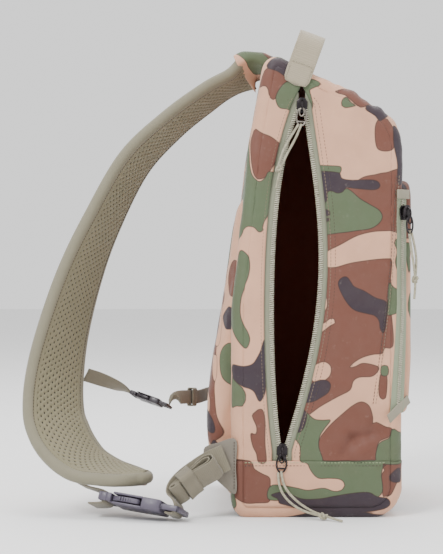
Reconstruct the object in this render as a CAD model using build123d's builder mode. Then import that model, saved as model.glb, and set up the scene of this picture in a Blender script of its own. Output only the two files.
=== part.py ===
"""Camouflage sling bag with one padded shoulder strap. Millimetres, +Z up.

The origin is on the floor under the middle of the bag. X runs from the back panel (-X, worn
against the body) to the front pocket (+X), and Y runs across the bag, with the long zip on
the -Y side. The shoulder strap leaves the top rear edge and comes round to two side-release
buckles near the bottom, so the strap and its two male buckle halves swing as one body.
"""
import os
from math import cos, radians, sin, tan

from build123d import *

os.makedirs("parts", exist_ok=True)

# ---------------------------------------------------------------- driving dimensions
HALF_WIDTH = 115.0          # half the bag's width, seam to seam
EDGE_BEVEL = 10.0           # softened edge between each side and the band round it
WALL = 2.4                  # fabric, padding and binding taken together
BOOT_HEIGHT = 53.0          # top of the reinforced bottom
GAP = 0.3                   # clearance between soft layers

# Depth profile of the bag, anticlockwise from the rear bottom: x, z and corner radius.
BODY_CORNERS = [
    (-70, 0, 14), (86, 0, 30), (88, 373, 50), (-38, 435, 8), (-54, 345, 300), (-70, 200, 300),
]

# The long zip: the two sides of the open slit, top to bottom, as x and z.
SLIT_REAR = [(-8, 384), (-28, 300), (-33.5, 203), (-31, 110), (-26, 62)]
SLIT_FRONT = [(-3, 384), (10, 285), (12, 245), (3, 153), (-21.5, 62)]
SLIT_TOP = Vector(-5.5, 0, 384)
SLIT_FOOT = Vector(-24, 0, 62)
CHAIN_HALF = 1.5
CHAIN_MID_Y = -112.3
CHAIN_THICK = 2.6
TAPE_NEAR = 3.5             # tape edge from the chain's centre line
TAPE_FAR = 13.0
REAR_MARGIN = 8.0           # side panel's edge from the rear chain
FRONT_MARGIN = 7.0

# Back pad: profile in depth and height, and its half width.
PAD_CORNERS = [(-50, 292), (-60, 292), (-72, 215), (-90, 115), (-90, 60), (-83, 32), (-50, 22)]
PAD_HALF_WIDTH = 105.0
PAD_COVER = 2.0

# Front pocket.
POCKET_HALF_WIDTH = 104.0
POCKET_LOW = 95.0
POCKET_HIGH = 315.0
POCKET_FRONT = 97.0
POCKET_WALL = 2.2
POCKET_CORNER = 18.0
POCKET_CORNER_INSIDE = 16.0
POCKET_RIM = 3.0            # eased edge round the pocket's front
POCKET_ZIP_LOW = 106.0
POCKET_ZIP_HIGH = 297.0

# Shoulder strap: centre line x, y, z, angle of its width out of the depth plane, and width.
STRAP_THICK = 11.0
STRAP_STATIONS = [
    (-69.8, -2, 420.0, 78, 62), (-94.6, -5, 404.2, 76, 64), (-130.9, -9, 375.6, 74, 66),
    (-168.6, -14, 335.7, 70, 68), (-200.1, -20, 275.6, 66, 69), (-220.3, -27, 225.0, 60, 70),
    (-234.9, -36, 173.3, 54, 70), (-242.3, -46, 129.6, 47, 70), (-242.7, -57, 97.5, 45, 70),
    (-237.2, -67, 77.4, 48, 70), (-226.3, -77, 60.4, 57, 70), (-210.3, -87, 47.0, 68, 69),
    (-187.3, -95, 39.5, 80, 66), (-166.1, -101, 36.5, 86, 54), (-154.0, -104, 36.0, 88, 30),
]
STRAP_START_WIDTH = 60.0
COVER_THICK = 1.5
MESH_THICK = 1.6
BINDING = 2.6

# The strap swings about a line across the top rear edge. Both buckles pull straight out.
HINGE_POINT = Vector(-55.5, 0, 434.0)
MAIN_BUCKLE_CENTRE = Vector(-152.2, -125, 13.4)
SMALL_BUCKLE_CENTRE = Vector(-151.8, 10, 99.4)
BUCKLE_DIRECTION = Vector(0.925, -0.36, -0.14)
SMALL_BUCKLE_SCALE = 0.54

# Haul handle: webbing arch across the top, leaning forward.
WEBBING_HALF = 12.5
WEBBING_THICK = 1.6
HANDLE_PIVOT_X = -4.6
HANDLE_PIVOT_Z = 424.0
HANDLE_LEAN = 20.0
HANDLE_LEG_Y = 116.4
HANDLE_RISE = 31.0          # grip above the pivot, at mid height of its shallow arch
HANDLE_ARCH = 2.0
HANDLE_CORNER = 20.0
HANDLE_TOP_RADIUS = 300.0

CORD_DIAMETER = 2.3
KNOT_RADIUS = 3.6
KNOT_LENGTH = 2.2 * KNOT_RADIUS
BEND_SHARE = 0.45           # of the shorter run, taken by the arc at a cord's corner


# ---------------------------------------------------------------- shared helpers
def save(builder, name):
    """Label one finished sub-part and write it."""
    builder.part.label = name
    export_step(builder.part, f"parts/{name}.step")


def side_plane(y):
    """Plane of depth (x) and height (y) at one place across the bag, facing -Y."""
    return Plane.XZ.offset(-y)


def body_profile(inset=0.0):
    """Depth profile of the bag, moved inward by inset."""
    with BuildSketch() as profile:
        with BuildLine():
            corners = [(x, z) for x, z, _ in BODY_CORNERS]
            FilletPolyline(*corners, radius=[r for _, _, r in BODY_CORNERS], close=True)
        make_face()
        if inset:
            offset(amount=-inset)
    return profile.sketch


def body_solid(inset):
    """The bag's closed volume, moved inward by inset, with bevelled side edges."""
    straight = HALF_WIDTH - EDGE_BEVEL - inset * tan(radians(22.5))
    bevel = HALF_WIDTH - inset - straight
    with BuildPart() as solid:
        for side in (-1, 1):
            cap_plane = Plane(origin=(0, side * straight, 0), x_dir=(1, 0, 0), z_dir=(0, side, 0))
            with BuildSketch(cap_plane):
                flat = body_profile(inset)
                add(flat if side < 0 else mirror(flat, about=Plane.XZ, mode=Mode.PRIVATE))
            extrude(amount=bevel, taper=45)
        with BuildSketch(side_plane(straight)):
            add(body_profile(inset))
        extrude(amount=2 * straight)
    return solid.part


def block(low, high):
    """A box between two opposite corners, used to cut regions."""
    low, high = Vector(low), Vector(high)
    size = high - low
    middle = (low + high) * 0.5
    return Pos(middle.X, middle.Y, middle.Z) * Box(size.X, size.Y, size.Z)


def shifted(points, dx):
    return [(x + dx, z) for x, z in points]


def strip_face(points, from_dx, to_dx):
    """Face between one smooth line moved sideways by two amounts."""
    near = shifted(points, from_dx)
    far = shifted(points, to_dx)
    with BuildSketch() as strip:
        with BuildLine():
            Spline(*near)
            Line(near[-1], far[-1])
            Spline(*far)
            Line(far[0], near[0])
        make_face()
    return strip.sketch


def frame_at(centre, tangent, width):
    """Section plane: x along the width, y through the thickness, z along the run."""
    tangent = tangent.normalized()
    across = (width - tangent * width.dot(tangent)).normalized()
    return Plane(origin=centre, x_dir=across, z_dir=tangent)


def band_frames(stations):
    """Section planes along a band given as (centre, width direction) pairs."""
    centres = [Vector(*centre) for centre, _ in stations]
    last = len(centres) - 1
    frames = []
    for index, (centre, (_, width)) in enumerate(zip(centres, stations)):
        before = centres[max(index - 1, 0)]
        after = centres[min(index + 1, last)]
        frames.append(frame_at(centre, after - before, Vector(*width)))
    return frames


def band(stations, width, thick):
    """Webbing laid through its stations."""
    with BuildPart() as strip:
        for frame in band_frames(stations):
            with BuildSketch(frame):
                Rectangle(width, thick)
        loft()
    return strip


def cord_radii(points):
    """Bend radius at each corner of a route, from the shorter run and half the turn."""
    route = [Vector(*point) for point in points]
    radii = []
    for before, here, after in zip(route, route[1:], route[2:]):
        run_in = here - before
        run_out = after - here
        half_turn = radians(run_in.get_angle(run_out)) / 2
        radii.append(BEND_SHARE * min(run_in.length, run_out.length) / tan(half_turn))
    return radii


def cord_tube(name, points):
    """Round cord along straight runs joined by tangent arcs."""
    radii = cord_radii(points)
    print(name, "bend radii", [round(radius, 1) for radius in radii])
    start = Vector(*points[0])
    direction = Vector(*points[1]) - start
    with BuildPart() as tube:
        with BuildLine():
            path = FilletPolyline(*points, radius=radii)
        with BuildSketch(Plane(origin=start, z_dir=direction)):
            Circle(CORD_DIAMETER / 2)
        sweep(path=path)
    return tube.part


# ---------------------------------------------------------------- bag body
outer = body_solid(0)
shell = outer - body_solid(WALL)
REACH = 400                  # past every side of the bag
above_boot = block((-REACH, -REACH, BOOT_HEIGHT), (REACH, REACH, 2 * REACH))

with BuildPart() as side_prism:
    with BuildSketch(side_plane(HALF_WIDTH)):
        add(body_profile(EDGE_BEVEL))
    extrude(amount=2 * HALF_WIDTH)

edge_band = (shell & above_boot) - side_prism.part
TOP_START_X = -30.0
TOP_START_Z = 330.0
FRONT_START_X = 60.0
behind = block((-REACH, -REACH, 0), (TOP_START_X, REACH, 2 * REACH))
over = block((TOP_START_X, -REACH, TOP_START_Z), (REACH, REACH, 2 * REACH))
ahead = block((FRONT_START_X, -REACH, 0), (REACH, REACH, TOP_START_Z))

with BuildPart() as bottom_boot:
    add(shell)
    add(above_boot, mode=Mode.SUBTRACT)
save(bottom_boot, "bottom_boot")

with BuildPart() as back_panel:
    add(edge_band)
    add(behind, mode=Mode.INTERSECT)
save(back_panel, "back_panel")

with BuildPart() as top_panel:
    add(edge_band)
    add(over, mode=Mode.INTERSECT)
save(top_panel, "top_panel")

with BuildPart() as front_panel:
    add(edge_band)
    add(ahead, mode=Mode.INTERSECT)
save(front_panel, "front_panel")

# Side panels. The near one is cut in two by the zip slit, and gives way to the pocket gusset.
CLOSED_GAP = 0.15            # half the gap where the two side panels meet past the zip
TOP_CLOSE_Z = 405.0
REAR_EDGE = shifted(SLIT_REAR, -REAR_MARGIN)
FRONT_EDGE = shifted(SLIT_FRONT, FRONT_MARGIN)
GUSSET = [(83, 330), (79, 268), (73, 200), (60, 104), (64, 92), (100, 92), (100, 330)]


def slit_side(edge, sign):
    """Region of the side face on one side of the slit; sign is -1 to the rear, +1 to the front."""
    top = (SLIT_TOP.X + sign * CLOSED_GAP, TOP_CLOSE_Z)
    foot = (edge[-1][0], BOOT_HEIGHT)
    with BuildSketch() as region:
        with BuildLine():
            Spline(*edge)
            Polyline(edge[-1], foot, (sign * REACH, foot[1]), (sign * REACH, 2 * REACH),
                     (top[0], 2 * REACH), top, edge[0])
        make_face()
    return region.sketch


def near_panel(region):
    """One piece of the near side panel, cut to region."""
    with BuildPart() as panel:
        with BuildSketch(side_plane(-HALF_WIDTH + WALL)):
            add(body_profile(EDGE_BEVEL))
            add(region, mode=Mode.INTERSECT)
        extrude(amount=WALL)
        add(above_boot, mode=Mode.INTERSECT)
    return panel


with BuildSketch() as gusset_region:
    with BuildLine():
        Polyline(*GUSSET, close=True)
    make_face()

save(near_panel(slit_side(REAR_EDGE, -1)), "rear_side_panel")
save(near_panel(slit_side(FRONT_EDGE, 1) - gusset_region.sketch), "front_side_panel")
save(near_panel(gusset_region.sketch), "pocket_gusset")

with BuildPart() as far_side_panel:
    with BuildSketch(side_plane(HALF_WIDTH)):
        add(body_profile(EDGE_BEVEL))
    extrude(amount=WALL)
    add(above_boot, mode=Mode.INTERSECT)
save(far_side_panel, "far_side_panel")

# Lining: a thin skin inside the walls, open at the slit.
LINING_OUT = WALL + 0.5
LINING_IN = WALL + 1.1
LINING_SLIT_MARGIN = 19.0
LINING_END_MARGIN = 12.0     # past both ends of the zip
LINING_CUT = (
    shifted(SLIT_REAR, -LINING_SLIT_MARGIN) + [(SLIT_FOOT.X, SLIT_FOOT.Z - LINING_END_MARGIN)]
    + shifted(reversed(SLIT_FRONT), LINING_SLIT_MARGIN) + [(SLIT_TOP.X, SLIT_TOP.Z + LINING_END_MARGIN)]
)
lining_outside = body_solid(LINING_OUT)
lining_inside = body_solid(LINING_IN)
with BuildPart() as lining:
    add(lining_outside)
    add(lining_inside, mode=Mode.SUBTRACT)
    with BuildSketch(side_plane(0)):
        with BuildLine():
            Polyline(*LINING_CUT, close=True)
        make_face()
    extrude(amount=2 * HALF_WIDTH, mode=Mode.SUBTRACT)
save(lining, "lining")


# ---------------------------------------------------------------- back pad
def pad_volume(inset, clearance):
    """Back pad volume, moved inward by inset, standing clear of the back panel."""
    with BuildPart() as pad:
        with BuildSketch(side_plane(PAD_HALF_WIDTH - inset)):
            with BuildLine():
                Polyline(*PAD_CORNERS, close=True)
            make_face()
            offset(amount=-inset)
        extrude(amount=2 * (PAD_HALF_WIDTH - inset))
        with BuildSketch(side_plane(HALF_WIDTH)):
            add(body_profile(-clearance))
        extrude(amount=2 * HALF_WIDTH, mode=Mode.SUBTRACT)
    return pad.part


PAD_SEAM = 0.05              # the cover's edge lies this close to the back panel
pad_outside = pad_volume(0, PAD_SEAM)
pad_inside = pad_volume(PAD_COVER, PAD_SEAM)
pad_core = pad_volume(PAD_COVER + GAP, GAP)

with BuildPart() as back_pad_cover:
    add(pad_outside)
    add(pad_inside, mode=Mode.SUBTRACT)
save(back_pad_cover, "back_pad_cover")

with BuildPart() as back_pad_foam:
    add(pad_core)
save(back_pad_foam, "back_pad_foam")


# ---------------------------------------------------------------- front pocket
POCKET_ROOT = BODY_CORNERS[1][0] - EDGE_BEVEL
POCKET_MIDDLE = (POCKET_LOW + POCKET_HIGH) / 2
POCKET_ROOT_PLANE = Plane.YZ.offset(POCKET_ROOT)
POCKET_HEIGHT = POCKET_HIGH - POCKET_LOW

with BuildPart() as pocket_panel:
    with BuildSketch(POCKET_ROOT_PLANE):
        with Locations((0, POCKET_MIDDLE)):
            RectangleRounded(2 * POCKET_HALF_WIDTH, POCKET_HEIGHT, POCKET_CORNER)
    extrude(amount=POCKET_FRONT - POCKET_ROOT)
    fillet(pocket_panel.faces().sort_by(Axis.X)[-1].edges(), radius=POCKET_RIM)
    with BuildSketch(POCKET_ROOT_PLANE):
        with Locations((0, POCKET_MIDDLE)):
            RectangleRounded(2 * (POCKET_HALF_WIDTH - POCKET_WALL), POCKET_HEIGHT - 2 * POCKET_WALL,
                             POCKET_CORNER_INSIDE)
    extrude(amount=POCKET_FRONT - POCKET_WALL - POCKET_ROOT, mode=Mode.SUBTRACT)
    add(outer, mode=Mode.SUBTRACT)
save(pocket_panel, "pocket_panel")

# The pocket zip runs down the softened edge, facing half to the side and half to the front.
POCKET_ZIP_AT = Vector(87.6, -109.6, 0)
POCKET_ZIP_NORMAL = Vector(1, -1, 0).normalized()
POCKET_TAPE_HALF = 6.0
POCKET_TAPE_THICK = 0.8
POCKET_TAPE_SPLIT = 0.2      # between the two halves of the tape
POCKET_COIL_WIDTH = 3.2
POCKET_COIL_THICK = 1.0


def pocket_zip_plane(z, lift=0.0):
    """Plane on the pocket zip at height z: x across the zip, y up, z outward."""
    origin = POCKET_ZIP_AT + POCKET_ZIP_NORMAL * lift + Vector(0, 0, z)
    return Plane(origin=origin, x_dir=(1, 1, 0), z_dir=POCKET_ZIP_NORMAL)


pocket_zip_middle = pocket_zip_plane((POCKET_ZIP_LOW + POCKET_ZIP_HIGH) / 2)
POCKET_ZIP_LENGTH = POCKET_ZIP_HIGH - POCKET_ZIP_LOW

with BuildPart(pocket_zip_middle) as pocket_zip_tape:
    half_centre = (POCKET_TAPE_HALF + POCKET_TAPE_SPLIT) / 2
    with Locations((-half_centre, 0, 0), (half_centre, 0, 0)):
        Box(POCKET_TAPE_HALF - POCKET_TAPE_SPLIT, POCKET_ZIP_LENGTH, POCKET_TAPE_THICK)
save(pocket_zip_tape, "pocket_zip_tape")

with BuildPart(pocket_zip_middle) as pocket_zip_coil:
    with Locations((0, 0, (POCKET_TAPE_THICK + POCKET_COIL_THICK) / 2)):
        Box(POCKET_COIL_WIDTH, POCKET_ZIP_LENGTH - 2, POCKET_COIL_THICK)
save(pocket_zip_coil, "pocket_zip_coil")

POCKET_TAB_HEIGHT = 8.5
POCKET_TAB_WIDTH = 14.0
POCKET_TAB_THICK = 2.2
POCKET_TAB_GAP = 0.2         # tab edges to the zip's ends
with BuildPart() as pocket_zip_tabs:
    for height in (POCKET_ZIP_HIGH, POCKET_ZIP_LOW - POCKET_TAB_HEIGHT):
        with BuildSketch(pocket_zip_plane(height + POCKET_TAB_HEIGHT / 2, -POCKET_TAPE_THICK / 2)):
            RectangleRounded(POCKET_TAB_WIDTH, POCKET_TAB_HEIGHT - POCKET_TAB_GAP, 1)
        extrude(amount=POCKET_TAB_THICK)
save(pocket_zip_tabs, "pocket_zip_tabs")


# ---------------------------------------------------------------- main zip
def zip_part(points, from_dx, to_dx, outer_y, thick):
    """A strip of the zip lying in the side face."""
    with BuildPart() as strip:
        with BuildSketch(side_plane(outer_y + thick)):
            add(strip_face(points, from_dx, to_dx))
        extrude(amount=thick)
    return strip


CHAIN_OUT_Y = CHAIN_MID_Y - CHAIN_THICK / 2
TAPE_OUT_Y = -112.4
TAPE_THICK = 0.6
save(zip_part(SLIT_REAR, -CHAIN_HALF, CHAIN_HALF, CHAIN_OUT_Y, CHAIN_THICK), "rear_zip_chain")
save(zip_part(SLIT_FRONT, -CHAIN_HALF, CHAIN_HALF, CHAIN_OUT_Y, CHAIN_THICK), "front_zip_chain")
save(zip_part(SLIT_REAR, -TAPE_FAR, -TAPE_NEAR, TAPE_OUT_Y, TAPE_THICK), "rear_zip_tape")
save(zip_part(SLIT_FRONT, TAPE_NEAR, TAPE_FAR, TAPE_OUT_Y, TAPE_THICK), "front_zip_tape")

SLIDER_WIDTH = 10.2
SLIDER_LENGTH = 14.0
SLIDER_PLATE = 1.4
SLIDER_GAP = 0.3             # between each plate and the chain
SLIDER_POST = (1.4, 3.0)     # across and along the chain
SLIDER_BRIDGE = (2.6, 4.4, 2.4)
TAB_WIDTH = 10.0
TAB_LENGTH = 17.0
TAB_THICK = 1.3
TAB_PIVOT = Vector(0, -3.2, 4.9)      # in the slider's own plane
TAB_TOP = 0.2                # tab's upper end below its pivot
TAB_EYE = 4.0                # height of the eye that the cord passes through
TAB_EYE_RAISE = 4.5          # middle of the eye above the tab's lower end
TAB_RIM = 2.0                # metal on each side of the eye


def slider_parts(plane, slider_name, tab_name):
    """Zip slider round the chain, and the ring tab hanging from its bridge."""
    with BuildPart(plane) as slider:
        plate_level = CHAIN_THICK / 2 + SLIDER_GAP
        for side in (-1, 1):
            with Locations((0, 0, side * (plate_level + SLIDER_PLATE / 2))):
                Box(SLIDER_WIDTH, SLIDER_LENGTH, SLIDER_PLATE)
        post_across, post_along = SLIDER_POST
        with Locations((0, SLIDER_LENGTH / 2 - 2, 0)):
            Box(post_across, post_along, 2 * plate_level + 0.2)
        with Locations((0, 0, plate_level + SLIDER_PLATE + SLIDER_BRIDGE[2] / 2)):
            Box(*SLIDER_BRIDGE)
    save(slider, slider_name)
    with BuildPart(plane) as tab:
        with Locations((0, TAB_PIVOT.Y - TAB_TOP - TAB_LENGTH / 2, TAB_PIVOT.Z)):
            Box(TAB_WIDTH, TAB_LENGTH, TAB_THICK)
        with Locations((0, TAB_PIVOT.Y - TAB_LENGTH + TAB_EYE_RAISE, TAB_PIVOT.Z)):
            Box(TAB_WIDTH - 2 * TAB_RIM, TAB_EYE, 2 * TAB_THICK, mode=Mode.SUBTRACT)
    save(tab, tab_name)
    return tab.part


def knot_solid(top, direction):
    """Overhand knot: a short barrel below top along direction."""
    with BuildPart(Plane(origin=top, z_dir=direction)) as knot:
        Cylinder(KNOT_RADIUS, KNOT_LENGTH, align=(Align.CENTER, Align.CENTER, Align.MIN))
        fillet(knot.edges().filter_by(GeomType.CIRCLE), radius=KNOT_RADIUS * 0.4)
    return knot


def puller(prefix, tab, through, second, knot_top, knot_direction):
    """Doubled cord from a ring tab to its knot: one strand runs through to a tail."""
    knot = knot_solid(knot_top, knot_direction)
    save(knot, f"{prefix}_knot")
    through_strand = cord_tube(f"{prefix}_cord", through)
    second_strand = cord_tube(f"{prefix}_cord", second)
    with BuildPart() as cord:
        add(through_strand)
        add(second_strand)
        add(knot.part, mode=Mode.SUBTRACT)
        add(tab, mode=Mode.SUBTRACT)
    save(cord, f"{prefix}_cord")


CHORD_UP = (SLIT_TOP - SLIT_FOOT).normalized()
CHORD_ACROSS = Vector(CHORD_UP.Z, 0, -CHORD_UP.X)
CHAIN_LEVEL = Vector(0, CHAIN_MID_Y, 0)
upper_plane = Plane(origin=SLIT_TOP + CHAIN_LEVEL, x_dir=CHORD_ACROSS, z_dir=(0, -1, 0))
lower_plane = Plane(origin=SLIT_FOOT + CHAIN_LEVEL, x_dir=CHORD_ACROSS, z_dir=(0, -1, 0))

# Cord routes, as x, y, z. They are the cords' whole lengths.
UPPER_THROUGH = [
    (-6.2, -117.4, 366.0), (-9.5, -118.3, 357.0), (-14.5, -118.6, 347.5), (-20.0, -118.7, 337.5),
    (-24.6, -118.8, 327.5), (-27.6, -118.8, 317.0), (-29.6, -118.6, 306.5),
]
UPPER_SECOND = [
    (-9.0, -117.4, 365.5), (-13.8, -118.4, 358.0), (-19.2, -118.7, 349.0), (-24.2, -118.8, 339.5),
    (-27.4, -118.8, 327.5),
]
UPPER_KNOT = Vector(-26.0, -118.9, 328.0)
LOWER_THROUGH = [
    (-25.0, -117.6, 43.5), (-24.0, -119.2, 34.5), (-19.8, -121.2, 26.0), (-13.0, -123.5, 18.5),
    (-4.5, -126.0, 12.2), (4.5, -128.8, 7.4), (14.5, -132.2, 4.4), (23.0, -137.8, 2.4),
    (29.5, -144.0, 1.6),
]
LOWER_SECOND = [
    (-27.8, -117.6, 42.5), (-27.6, -119.4, 32.5), (-23.6, -121.8, 22.6), (-16.2, -124.4, 14.6),
    (-6.4, -127.2, 8.8), (3.4, -130.2, 6.0), (13.0, -133.2, 4.2),
]
LOWER_KNOT = Vector(9.5, -131.2, 5.2)
POCKET_THROUGH = [
    (94.0, -116.0, 267.0), (94.8, -117.4, 257.5), (96.2, -118.0, 247.0), (97.9, -118.0, 236.0),
    (99.3, -117.6, 225.0), (99.6, -117.2, 214.0), (98.6, -116.7, 203.5),
]
POCKET_SECOND = [
    (96.2, -113.8, 267.0), (98.4, -115.2, 257.0), (100.2, -116.0, 246.5), (100.9, -116.4, 236.0),
    (99.8, -116.2, 224.0),
]
POCKET_KNOT = Vector(99.4, -116.8, 226.0)

POCKET_SLIDER_AT = 284.0
POCKET_SLIDER_LIFT = POCKET_TAPE_THICK / 2 + CHAIN_THICK / 2 + 2.9

upper_tab = slider_parts(upper_plane, "upper_slider", "upper_pull_tab")
puller("upper_pull", upper_tab, UPPER_THROUGH, UPPER_SECOND, UPPER_KNOT, Vector(-0.28, 0, -0.96))
lower_tab = slider_parts(lower_plane, "lower_slider", "lower_pull_tab")
puller("lower_pull", lower_tab, LOWER_THROUGH, LOWER_SECOND, LOWER_KNOT, Vector(0.92, -0.33, -0.2))
pocket_slider_plane = pocket_zip_plane(POCKET_SLIDER_AT, POCKET_SLIDER_LIFT)
pocket_tab = slider_parts(pocket_slider_plane, "pocket_slider", "pocket_pull_tab")
puller("pocket_pull", pocket_tab, POCKET_THROUGH, POCKET_SECOND, POCKET_KNOT, Vector(0, 0, -1))


# ---------------------------------------------------------------- haul handle
lean = radians(HANDLE_LEAN)
handle_plane = Plane(
    origin=(HANDLE_PIVOT_X, 0, HANDLE_PIVOT_Z), x_dir=(0, 1, 0), z_dir=(cos(lean), 0, -sin(lean))
)
with BuildPart() as haul_handle:
    with BuildSketch(handle_plane):
        with BuildLine():
            FilletPolyline(
                (-HANDLE_LEG_Y, 0), (-HANDLE_LEG_Y, HANDLE_RISE - HANDLE_ARCH),
                (0, HANDLE_RISE + HANDLE_ARCH),
                (HANDLE_LEG_Y, HANDLE_RISE - HANDLE_ARCH), (HANDLE_LEG_Y, 0),
                radius=[HANDLE_CORNER, HANDLE_TOP_RADIUS, HANDLE_CORNER],
            )
        trace(line_width=WEBBING_THICK)
    extrude(amount=WEBBING_HALF, both=True)
    for side in (-1, 1):
        inner_face = side * HANDLE_LEG_Y + WEBBING_THICK / 2
        with BuildSketch(side_plane(inner_face)):
            with Locations((HANDLE_PIVOT_X, HANDLE_PIVOT_Z)):
                Circle(WEBBING_HALF)
        extrude(amount=WEBBING_THICK)
save(haul_handle, "haul_handle")

ANCHOR_HEIGHT = 12.0
ANCHOR_WIDTH = 28.0
ANCHOR_THICK = WEBBING_THICK + 0.6
ANCHOR_Y = HANDLE_LEG_Y - 0.2
ANCHOR_TOP = HANDLE_PIVOT_Z - WEBBING_HALF - GAP
with BuildPart() as handle_anchors:
    with Locations(
        (HANDLE_PIVOT_X, -ANCHOR_Y, ANCHOR_TOP - ANCHOR_HEIGHT / 2),
        (HANDLE_PIVOT_X, ANCHOR_Y, ANCHOR_TOP - ANCHOR_HEIGHT / 2),
    ):
        Box(ANCHOR_WIDTH, ANCHOR_THICK, ANCHOR_HEIGHT)
save(handle_anchors, "handle_anchors")


# ---------------------------------------------------------------- swing geometry of the strap
def swing_axis():
    """Axis square to the main buckle's direction and to the line from it to the hinge."""
    arm = MAIN_BUCKLE_CENTRE - HINGE_POINT
    pull = BUCKLE_DIRECTION - arm * (BUCKLE_DIRECTION.dot(arm) / arm.dot(arm))
    return pull.cross(arm).normalized()


SWING = swing_axis()


def buckle_plane(centre):
    """A buckle's own plane: x towards the bag along its pull, y across, z through it."""
    pull = SWING.cross(HINGE_POINT - centre).normalized()
    return Plane(origin=centre, x_dir=pull, z_dir=pull.cross(SWING))


main_plane = buckle_plane(MAIN_BUCKLE_CENTRE)
small_plane = buckle_plane(SMALL_BUCKLE_CENTRE)
print("swing axis", SWING)
for title, plane in (("main", main_plane), ("small", small_plane)):
    print(title, "along", plane.x_dir, "across", plane.y_dir, "normal", plane.z_dir)

# ---------------------------------------------------------------- shoulder strap
STRAP_LEAVES = Vector(-0.886, 0.074, -0.458)
strap_start_tangent = STRAP_LEAVES - SWING * STRAP_LEAVES.dot(SWING)
first_frame = frame_at(HINGE_POINT, strap_start_tangent, SWING * -1)
first_centre = HINGE_POINT - first_frame.y_dir * (STRAP_THICK / 2)


def strap_sections():
    """(plane, width) for each section of the strap, hinge end first."""
    centres = [first_centre] + [Vector(x, y, z) for x, y, z, _, _ in STRAP_STATIONS]
    sections = [(frame_at(first_centre, strap_start_tangent, SWING * -1), STRAP_START_WIDTH)]
    for index, (_, _, _, angle, width) in enumerate(STRAP_STATIONS, start=1):
        before = centres[index - 1]
        after = centres[min(index + 1, len(centres) - 1)]
        tangent = (after - before).normalized()
        outward = Vector(tangent.Z, 0, -tangent.X).normalized()
        turn = radians(angle)
        width_direction = outward * cos(turn) - Vector(0, sin(turn), 0)
        sections.append((frame_at(centres[index], tangent, width_direction), width))
    return sections


SECTIONS = strap_sections()


def strap_layer(low, high, margin, last):
    """Loft between two levels through the thickness, margin in from each edge."""
    with BuildPart() as layer:
        for plane, width in SECTIONS[:last]:
            with BuildSketch(plane):
                with Locations((0, (low + high) / 2)):
                    Rectangle(width - 2 * margin, high - low)
        loft()
    return layer


HALF_THICK = STRAP_THICK / 2
FULL = len(SECTIONS)
save(strap_layer(HALF_THICK - COVER_THICK, HALF_THICK, BINDING + GAP, FULL - 1), "strap_cover")
save(strap_layer(-HALF_THICK + MESH_THICK + GAP, HALF_THICK - COVER_THICK - GAP, BINDING + GAP,
                 FULL - 1), "strap_foam")
save(strap_layer(-HALF_THICK, -HALF_THICK + MESH_THICK, BINDING + GAP, FULL - 1), "strap_mesh")

strap_whole = strap_layer(-HALF_THICK, HALF_THICK, 0, FULL).part
strap_middle = strap_layer(-HALF_THICK - 1, HALF_THICK + 1, BINDING, FULL - 1).part
with BuildPart() as strap_binding:
    add(strap_whole)
    add(strap_middle, mode=Mode.SUBTRACT)
save(strap_binding, "strap_binding")

# Short sewn yoke between the bag's top rear edge and the swinging strap.
YOKE_HALF_WIDTH = 30.0
YOKE_PROFILE = [(-70, 416), (-70, 426.5), (-46, 438.5), (-38, 441), (-20, 432.5), (-20, 420)]
hinge_cut = Plane(origin=HINGE_POINT - first_frame.z_dir * GAP, z_dir=first_frame.z_dir)
with BuildPart() as strap_yoke:
    with BuildSketch(side_plane(YOKE_HALF_WIDTH)):
        with BuildLine():
            Polyline(*YOKE_PROFILE, close=True)
        make_face()
    extrude(amount=2 * YOKE_HALF_WIDTH)
    split(bisect_by=hinge_cut, keep=Keep.BOTTOM)
    add(outer, mode=Mode.SUBTRACT)
save(strap_yoke, "strap_yoke")


# ---------------------------------------------------------------- side-release buckles
ARM_PIVOT = (-26.4, 10.8)      # in the buckle's own plane, at full size
ARM_OUTLINE = [
    (-26.4, 9.0), (-26.4, 12.6), (-18, 15.6), (-7, 16.4), (-1, 15.2), (1, 13.0), (1, 11.0),
    (-6, 10.0), (-16, 9.2),
]


def scaled(points, scale):
    return [(x * scale, y * scale) for x, y in points]


# Buckle blocks at full size, as x middle, then length, width and thickness.
MALE_FRAME = (-33.7, (13.0, 32.0, 8.0))
MALE_SLOT = (-34.6, (4.6, 27.0, 12.0))
MALE_GUIDE = (-15.0, (26.0, 4.0, 3.2))
FEMALE_BODY = (-2.0, (48.0, 33.0, 11.0))
FEMALE_MOUTH = (-11.5, (30.0, 40.0, 7.0))
FEMALE_LADDER = (31.0, (18.0, 30.0, 5.2))
LADDER_SLOTS = [(27.0, (4.4, 26.0, 12.0)), (35.0, (4.4, 26.0, 12.0))]
ARM_HALF_THICK = 2.4


def buckle_block(shape, scale, mode=Mode.ADD):
    """One block of a buckle half, in the buckle's own plane."""
    middle, (length, width, thick) = shape
    with Locations((middle * scale, 0, 0)):
        Box(length * scale, width * scale, thick * scale, mode=mode)


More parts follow.
